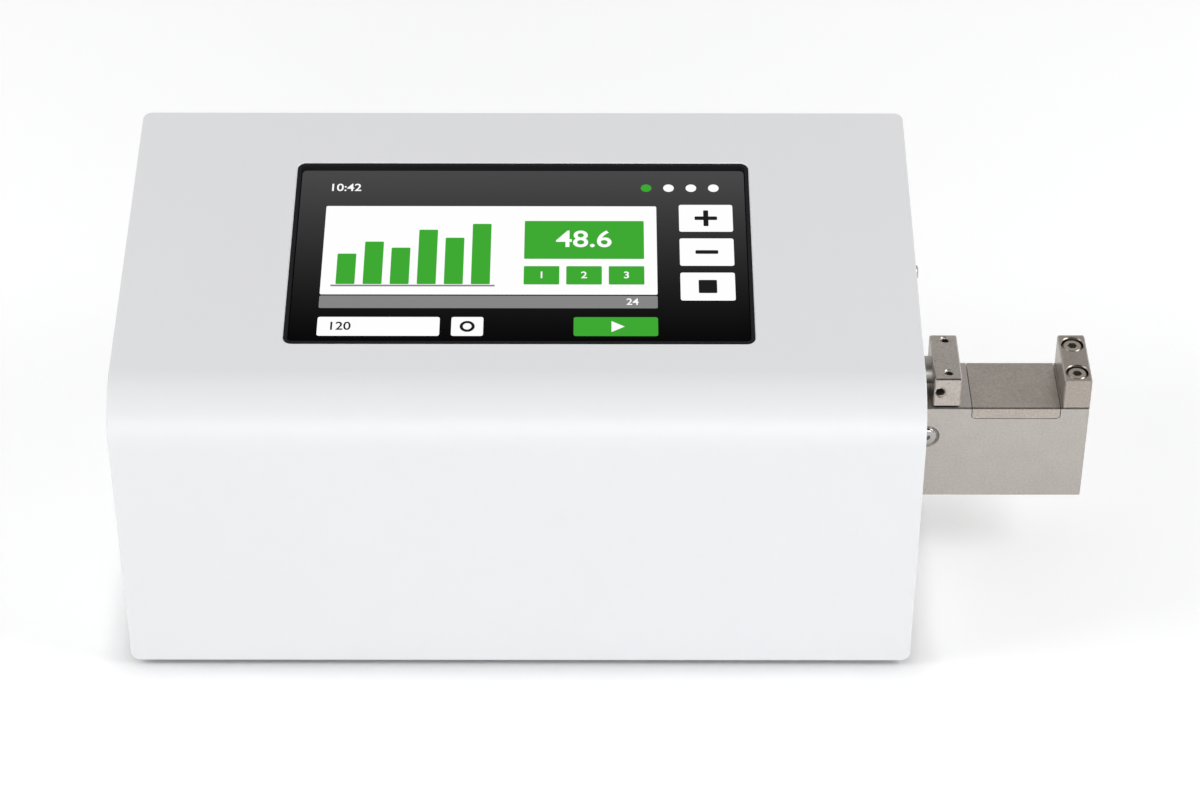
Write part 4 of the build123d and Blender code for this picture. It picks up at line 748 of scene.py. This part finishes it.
# %% Wind the threads
def thread(name, radius, depth, pitch, place):
    """The wall of a tapped hole, its mouth at the origin, going down."""
    crest_height = 0.5 * pitch
    spare_turns = 3  # wound beyond the hole's two ends, to be trimmed off
    mouth_spread = 1.3
    wall_thickness = 0.02 * mm
    merge_distance = 0.02 * pitch
    bpy.ops.object.select_all(action="DESELECT")
    bpy.ops.mesh.primitive_plane_add(size=pitch, location=(radius, 0, 0))
    wall = start_piece(name)
    pick(wall, lambda p: True)
    bpy.ops.mesh.delete(type="ONLY_FACE")
    pick(wall, lambda p: p.x > radius + pitch * 0.4 or abs(p.y) > pitch * 0.4, "EDGE")
    bpy.ops.mesh.delete(type="EDGE")
    pick(wall, lambda p: True, "EDGE")
    bpy.ops.mesh.subdivide(number_cuts=1)
    pick(wall, lambda p: True, "VERT")
    bpy.ops.transform.translate(value=(pitch / 2, 0, 0))
    pick(wall, lambda p: abs(p.y) < pitch * 0.1, "VERT")
    bpy.ops.transform.translate(value=(-crest_height, 0, 0))
    bpy.ops.mesh.select_all(action="SELECT")
    bpy.ops.transform.rotate(value=radians(-90), orient_axis="X", center_override=(0, 0, 0))
    bpy.ops.object.mode_set(mode="OBJECT")
    wind = wall.modifiers.new("wind", "SCREW")
    wind.angle = radians(360)
    wind.screw_offset = pitch
    wind.iterations = int(depth / pitch) + spare_turns
    wind.steps = wind.render_steps = 36
    wind.use_merge_vertices = True
    wind.merge_threshold = merge_distance
    bpy.ops.object.modifier_apply(modifier="wind")
    bpy.ops.object.mode_set(mode="EDIT")
    bpy.ops.mesh.select_all(action="SELECT")
    bpy.ops.mesh.remove_doubles(threshold=merge_distance)
    bpy.ops.mesh.select_all(action="SELECT")
    bpy.ops.transform.translate(value=(0, 0, -depth - pitch * spare_turns / 2))
    bpy.ops.mesh.select_all(action="SELECT")
    bpy.ops.mesh.bisect(plane_co=(0, 0, -depth), plane_no=(0, 0, -1), clear_outer=True)
    bpy.ops.mesh.select_all(action="SELECT")
    bpy.ops.mesh.bisect(plane_co=(0, 0, 0), plane_no=(0, 0, 1), clear_outer=True)
    pick(wall, lambda p: p.z > -0.001 * mm, "EDGE")
    bpy.ops.mesh.extrude_region_move()
    bpy.ops.transform.resize(value=(mouth_spread, mouth_spread, 1), center_override=(0, 0, 0))
    bpy.ops.mesh.select_all(action="SELECT")
    bpy.ops.mesh.normals_make_consistent(inside=True)
    bpy.ops.object.mode_set(mode="OBJECT")
    thick = wall.modifiers.new("thick", "SOLIDIFY")
    thick.thickness = wall_thickness
    thick.offset = -1
    bpy.ops.object.modifier_apply(modifier="thick")
    return fit(name, [wall], place, thread_steel, "jaw")


thread_steel = metal("cut_thread_steel", (0.55, 0.51, 0.46), 0.45, mottle=0.1,
                     mottle_size=0.002, grain=0.0004)
jaw_low, jaw_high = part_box("moving_jaw")
thread_pitch = 0.7 * mm
rim = 0.3 * mm  # the threads start below the holes' countersinks
top_hole_x = (jaw_low.x + jaw_high.x) / 2 + 0.5 * mm
top_hole_y = (jaw_low.y + jaw_high.y) / 2 + 0.4 * mm
top_hole_spread = 9.7 * mm  # to the front and to the rear of that place
for name, side in (("front_top_thread", -1), ("rear_top_thread", 1)):
    place = Matrix.Translation((top_hole_x, top_hole_y + side * top_hole_spread, jaw_high.z - rim))
    thread(name, radius=1.64 * mm, depth=3.6 * mm, pitch=thread_pitch, place=place)
set_hole_x = jaw_low.x + 2.2 * mm
set_hole_height = 72.8 * mm
place = Matrix.Translation((set_hole_x, jaw_low.y + rim, set_hole_height))
place = place @ Matrix.Rotation(radians(90), 4, "X")
thread("set_screw_thread", radius=1.99 * mm, depth=4.8 * mm, pitch=thread_pitch, place=place)

# %% [markdown]
# ### Marks on the power switch
# A line and a ring are printed on the rocker's two halves. Both are flat plates, like the
# screen's. The rocker's face is a shallow V, so each mark gets the tilt of its half, on top of the
# rocker's own tilt at rest.

# %% Print the switch marks
white_print = finish("white_print", (0.70, 0.70, 0.68), 0.55, mottle=0.05, mottle_size=0.001,
                     grain=0.0002, bump=0.1)
print_thickness = 0.06 * mm
line_mark = rounded_sheet(0.8 * mm, 4.4 * mm, 0.2 * mm, print_thickness)
close_up()
bpy.ops.object.select_all(action="DESELECT")
bpy.ops.mesh.primitive_circle_add(vertices=48, radius=2.1 * mm, fill_type="NGON")
ring_mark = start_piece("ring_mark")
pick(ring_mark, lambda p: True)
bpy.ops.mesh.inset(thickness=0.65 * mm)
pick(ring_mark, lambda p: p.length < 0.1 * mm)
bpy.ops.mesh.delete(type="FACE")
pick(ring_mark, lambda p: True)
bpy.ops.mesh.extrude_region_move(TRANSFORM_OT_translate={"value": (0, 0, print_thickness)})
close_up()

rocker_joint = next(j for j in frame["joints"] if j["name"] == "rocker_tilt")
pivot = Vector(rocker_joint["pos_m"])
rest_tilt = Matrix.Rotation(radians(-10), 4, "X")
half_height = 12 * mm  # of one half of the rocker's face
half_rise = 2.2 * mm  # from the valley in its middle to its end
half_front = 4.42 * mm  # how far the middle of a half stands out from the pivot
for name, mark, side in (("on_mark", line_mark, 1), ("off_mark", ring_mark, -1)):
    along = Vector((0, side * half_rise, half_height)).normalized()
    across = Vector((-1, 0, 0))
    outward = across.cross(along)
    turn = Matrix((across, along, outward)).transposed().to_4x4()
    middle = Vector((0, half_front, side * half_height / 2))
    place = Matrix.Translation(pivot) @ rest_tilt @ Matrix.Translation(middle) @ turn
    fit(name, [mark], place, white_print, "rocker")

# %% [markdown]
# ### Contacts in the network socket
# Eight gilt springs hang from the roof of the socket. One is a narrow strip whose far edge is
# extruded four times: back and down, and at last up again. A Solidify modifier makes it a wire,
# and seven copies stand beside it.

# %% Make the network contacts
gilt = metal("gilt_contacts", (0.75, 0.53, 0.20), 0.25, mottle=0.04, mottle_size=0.002,
             grain=0.0002, bump=0.05)
socket_low, socket_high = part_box("network_socket")
roof = socket_low.z + 10.2 * mm
contact_count = 8
contact_pitch = 1.02 * mm
spring_bends = ((0.6, 0.25), (5.2, 2.5), (1.2, 0.1), (1.4, -0.9))  # back and down, millimetres
bpy.ops.object.select_all(action="DESELECT")
bpy.ops.mesh.primitive_plane_add(size=1)
bpy.context.object.scale = (0.45 * mm, 0.8 * mm, 1)
spring = start_piece("spring")
reach = spring.data.vertices[0].co.y
for back, down in spring_bends:
    pick(spring, lambda p: p.y < reach + 0.01 * mm, "EDGE")
    bpy.ops.mesh.extrude_region_move(
        TRANSFORM_OT_translate={"value": (0, -back * mm, -down * mm)}
    )
    reach -= back * mm
bpy.ops.object.mode_set(mode="OBJECT")
wire = spring.modifiers.new("wire", "SOLIDIFY")
wire.thickness = 0.28 * mm
bpy.ops.object.modifier_apply(modifier="wire")
bpy.ops.object.mode_set(mode="EDIT")
close_up()
springs = [spring]
for step in range(1, contact_count):
    springs.append(another(spring, (step * contact_pitch, 0, 0)))
first_x = (socket_low.x + socket_high.x - (contact_count - 1) * contact_pitch) / 2
place = Matrix.Translation((first_x, socket_high.y - 1.2 * mm, roof - 0.05 * mm))
fit("network_contacts", springs, place, gilt, "housing")

# %% [markdown]
# Two small lamps beside each other show that the line is up. They are coloured plugs in the
# socket's face, each a thin sheet with a raised middle.

# %% Make the line lamps
green_lens = finish("green_lens", (0.10, 0.45, 0.12), 0.2, mottle=0.05, mottle_size=0.001,
                    grain=0.0004, bump=0.05)
amber_lens = finish("amber_lens", (0.65, 0.32, 0.04), 0.2, mottle=0.05, mottle_size=0.001,
                    grain=0.0004, bump=0.05)
lamp_spread = 4.4 * mm  # from the socket's middle
lamp_drop = 1.65 * mm  # below its top
lens = rounded_sheet(3.0 * mm, 1.8 * mm, 0.3 * mm, 0.15 * mm)
bpy.ops.mesh.inset(thickness=0.2 * mm)
bpy.ops.transform.translate(value=(0, 0, 0.1 * mm))
close_up()
face_out = Matrix.Rotation(radians(-90), 4, "X")
for name, part, side, material in (
    ("left_line_lamp", lens, 1, green_lens),
    ("right_line_lamp", another(lens, (0, 0, 0)), -1, amber_lens),
):
    lamp_x = (socket_low.x + socket_high.x) / 2 + side * lamp_spread
    place = Matrix.Translation((lamp_x, socket_high.y, socket_high.z - lamp_drop)) @ face_out
    fit(name, [part], place, material, "housing")

# %% [markdown]
# ### Tongues in the data sockets
# Inside each socket a plastic tongue carries four flat contacts on its underside. The tongue is a
# box with its front edges bevelled, and the contacts are thin rounded sheets.

# %% Make the data tongues
tongue_white = finish("ivory_tongue_plastic", (0.62, 0.61, 0.56), 0.4, mottle=0.05,
                      mottle_size=0.002, grain=0.0003, bump=0.1)
usb_low, usb_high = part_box("usb_socket")
bpy.ops.object.select_all(action="DESELECT")
bpy.ops.mesh.primitive_cube_add(size=1)
bpy.context.object.scale = (10.2 * mm, 8.8 * mm, 1.8 * mm)
tongue = start_piece("tongue")
pick(tongue, lambda p: p.y > 4.3 * mm, "EDGE")
bpy.ops.mesh.bevel(offset=0.45 * mm, segments=3, profile=0.5)
close_up()
pad = rounded_sheet(1.0 * mm, 6.4 * mm, 0.25 * mm, 0.12 * mm)
close_up()
pads = [another(pad, (shift * mm, 0.4 * mm, -0.98 * mm)) for shift in (-3.5, -1.0, 1.0, 3.5)]
bpy.data.objects.remove(pad)
tongue_x = (usb_low.x + usb_high.x) / 2
tongue_y = usb_high.y - 6.2 * mm
for name, rise in (("lower", 5.2 * mm), ("upper", 12.5 * mm)):
    place = Matrix.Translation((tongue_x, tongue_y, usb_low.z + rise))
    last = name == "upper"
    part = tongue if last else another(tongue, (0, 0, 0))
    contacts = pads if last else [another(item, (0, 0, 0)) for item in pads]
    fit(name + "_data_tongue", [part], place, tongue_white, "housing")
    fit(name + "_data_contacts", contacts, place, gilt, "housing")

# %% [markdown]
# ### Blades of the mains inlet
# The three blades are nickel-plated. Each is a box around the solid's own pin, a twentieth of a
# millimetre proud of it, with its tip bevelled so that the plug slides on.

# %% Make the mains blades
nickel = metal("nickel_plate", (0.60, 0.58, 0.54), 0.22, mottle=0.05, mottle_size=0.003,
               bump=0.05, stretch=(1, 4, 1))
inlet_low, inlet_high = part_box("mains_inlet")
blade_root = inlet_high.y - 17 * mm
blade_length = 14.1 * mm
inlet_height = 38 * mm
bpy.ops.object.select_all(action="DESELECT")
bpy.ops.mesh.primitive_cube_add(size=1, location=(0, blade_length / 2, 0))
bpy.context.object.scale = (2.1 * mm, blade_length, 4.1 * mm)
blade = start_piece("blade")
pick(blade, lambda p: p.y > 14 * mm, "EDGE")
bpy.ops.mesh.bevel(offset=0.6 * mm, segments=4, profile=0.5)
close_up()
blades = [another(blade, (x * mm, 0, z * mm)) for x, z in ((-7, -2), (0, 2), (7, -2))]
bpy.data.objects.remove(blade)
place = Matrix.Translation(((inlet_low.x + inlet_high.x) / 2, blade_root, inlet_height))
fit("mains_blades", blades, place, nickel, "housing")
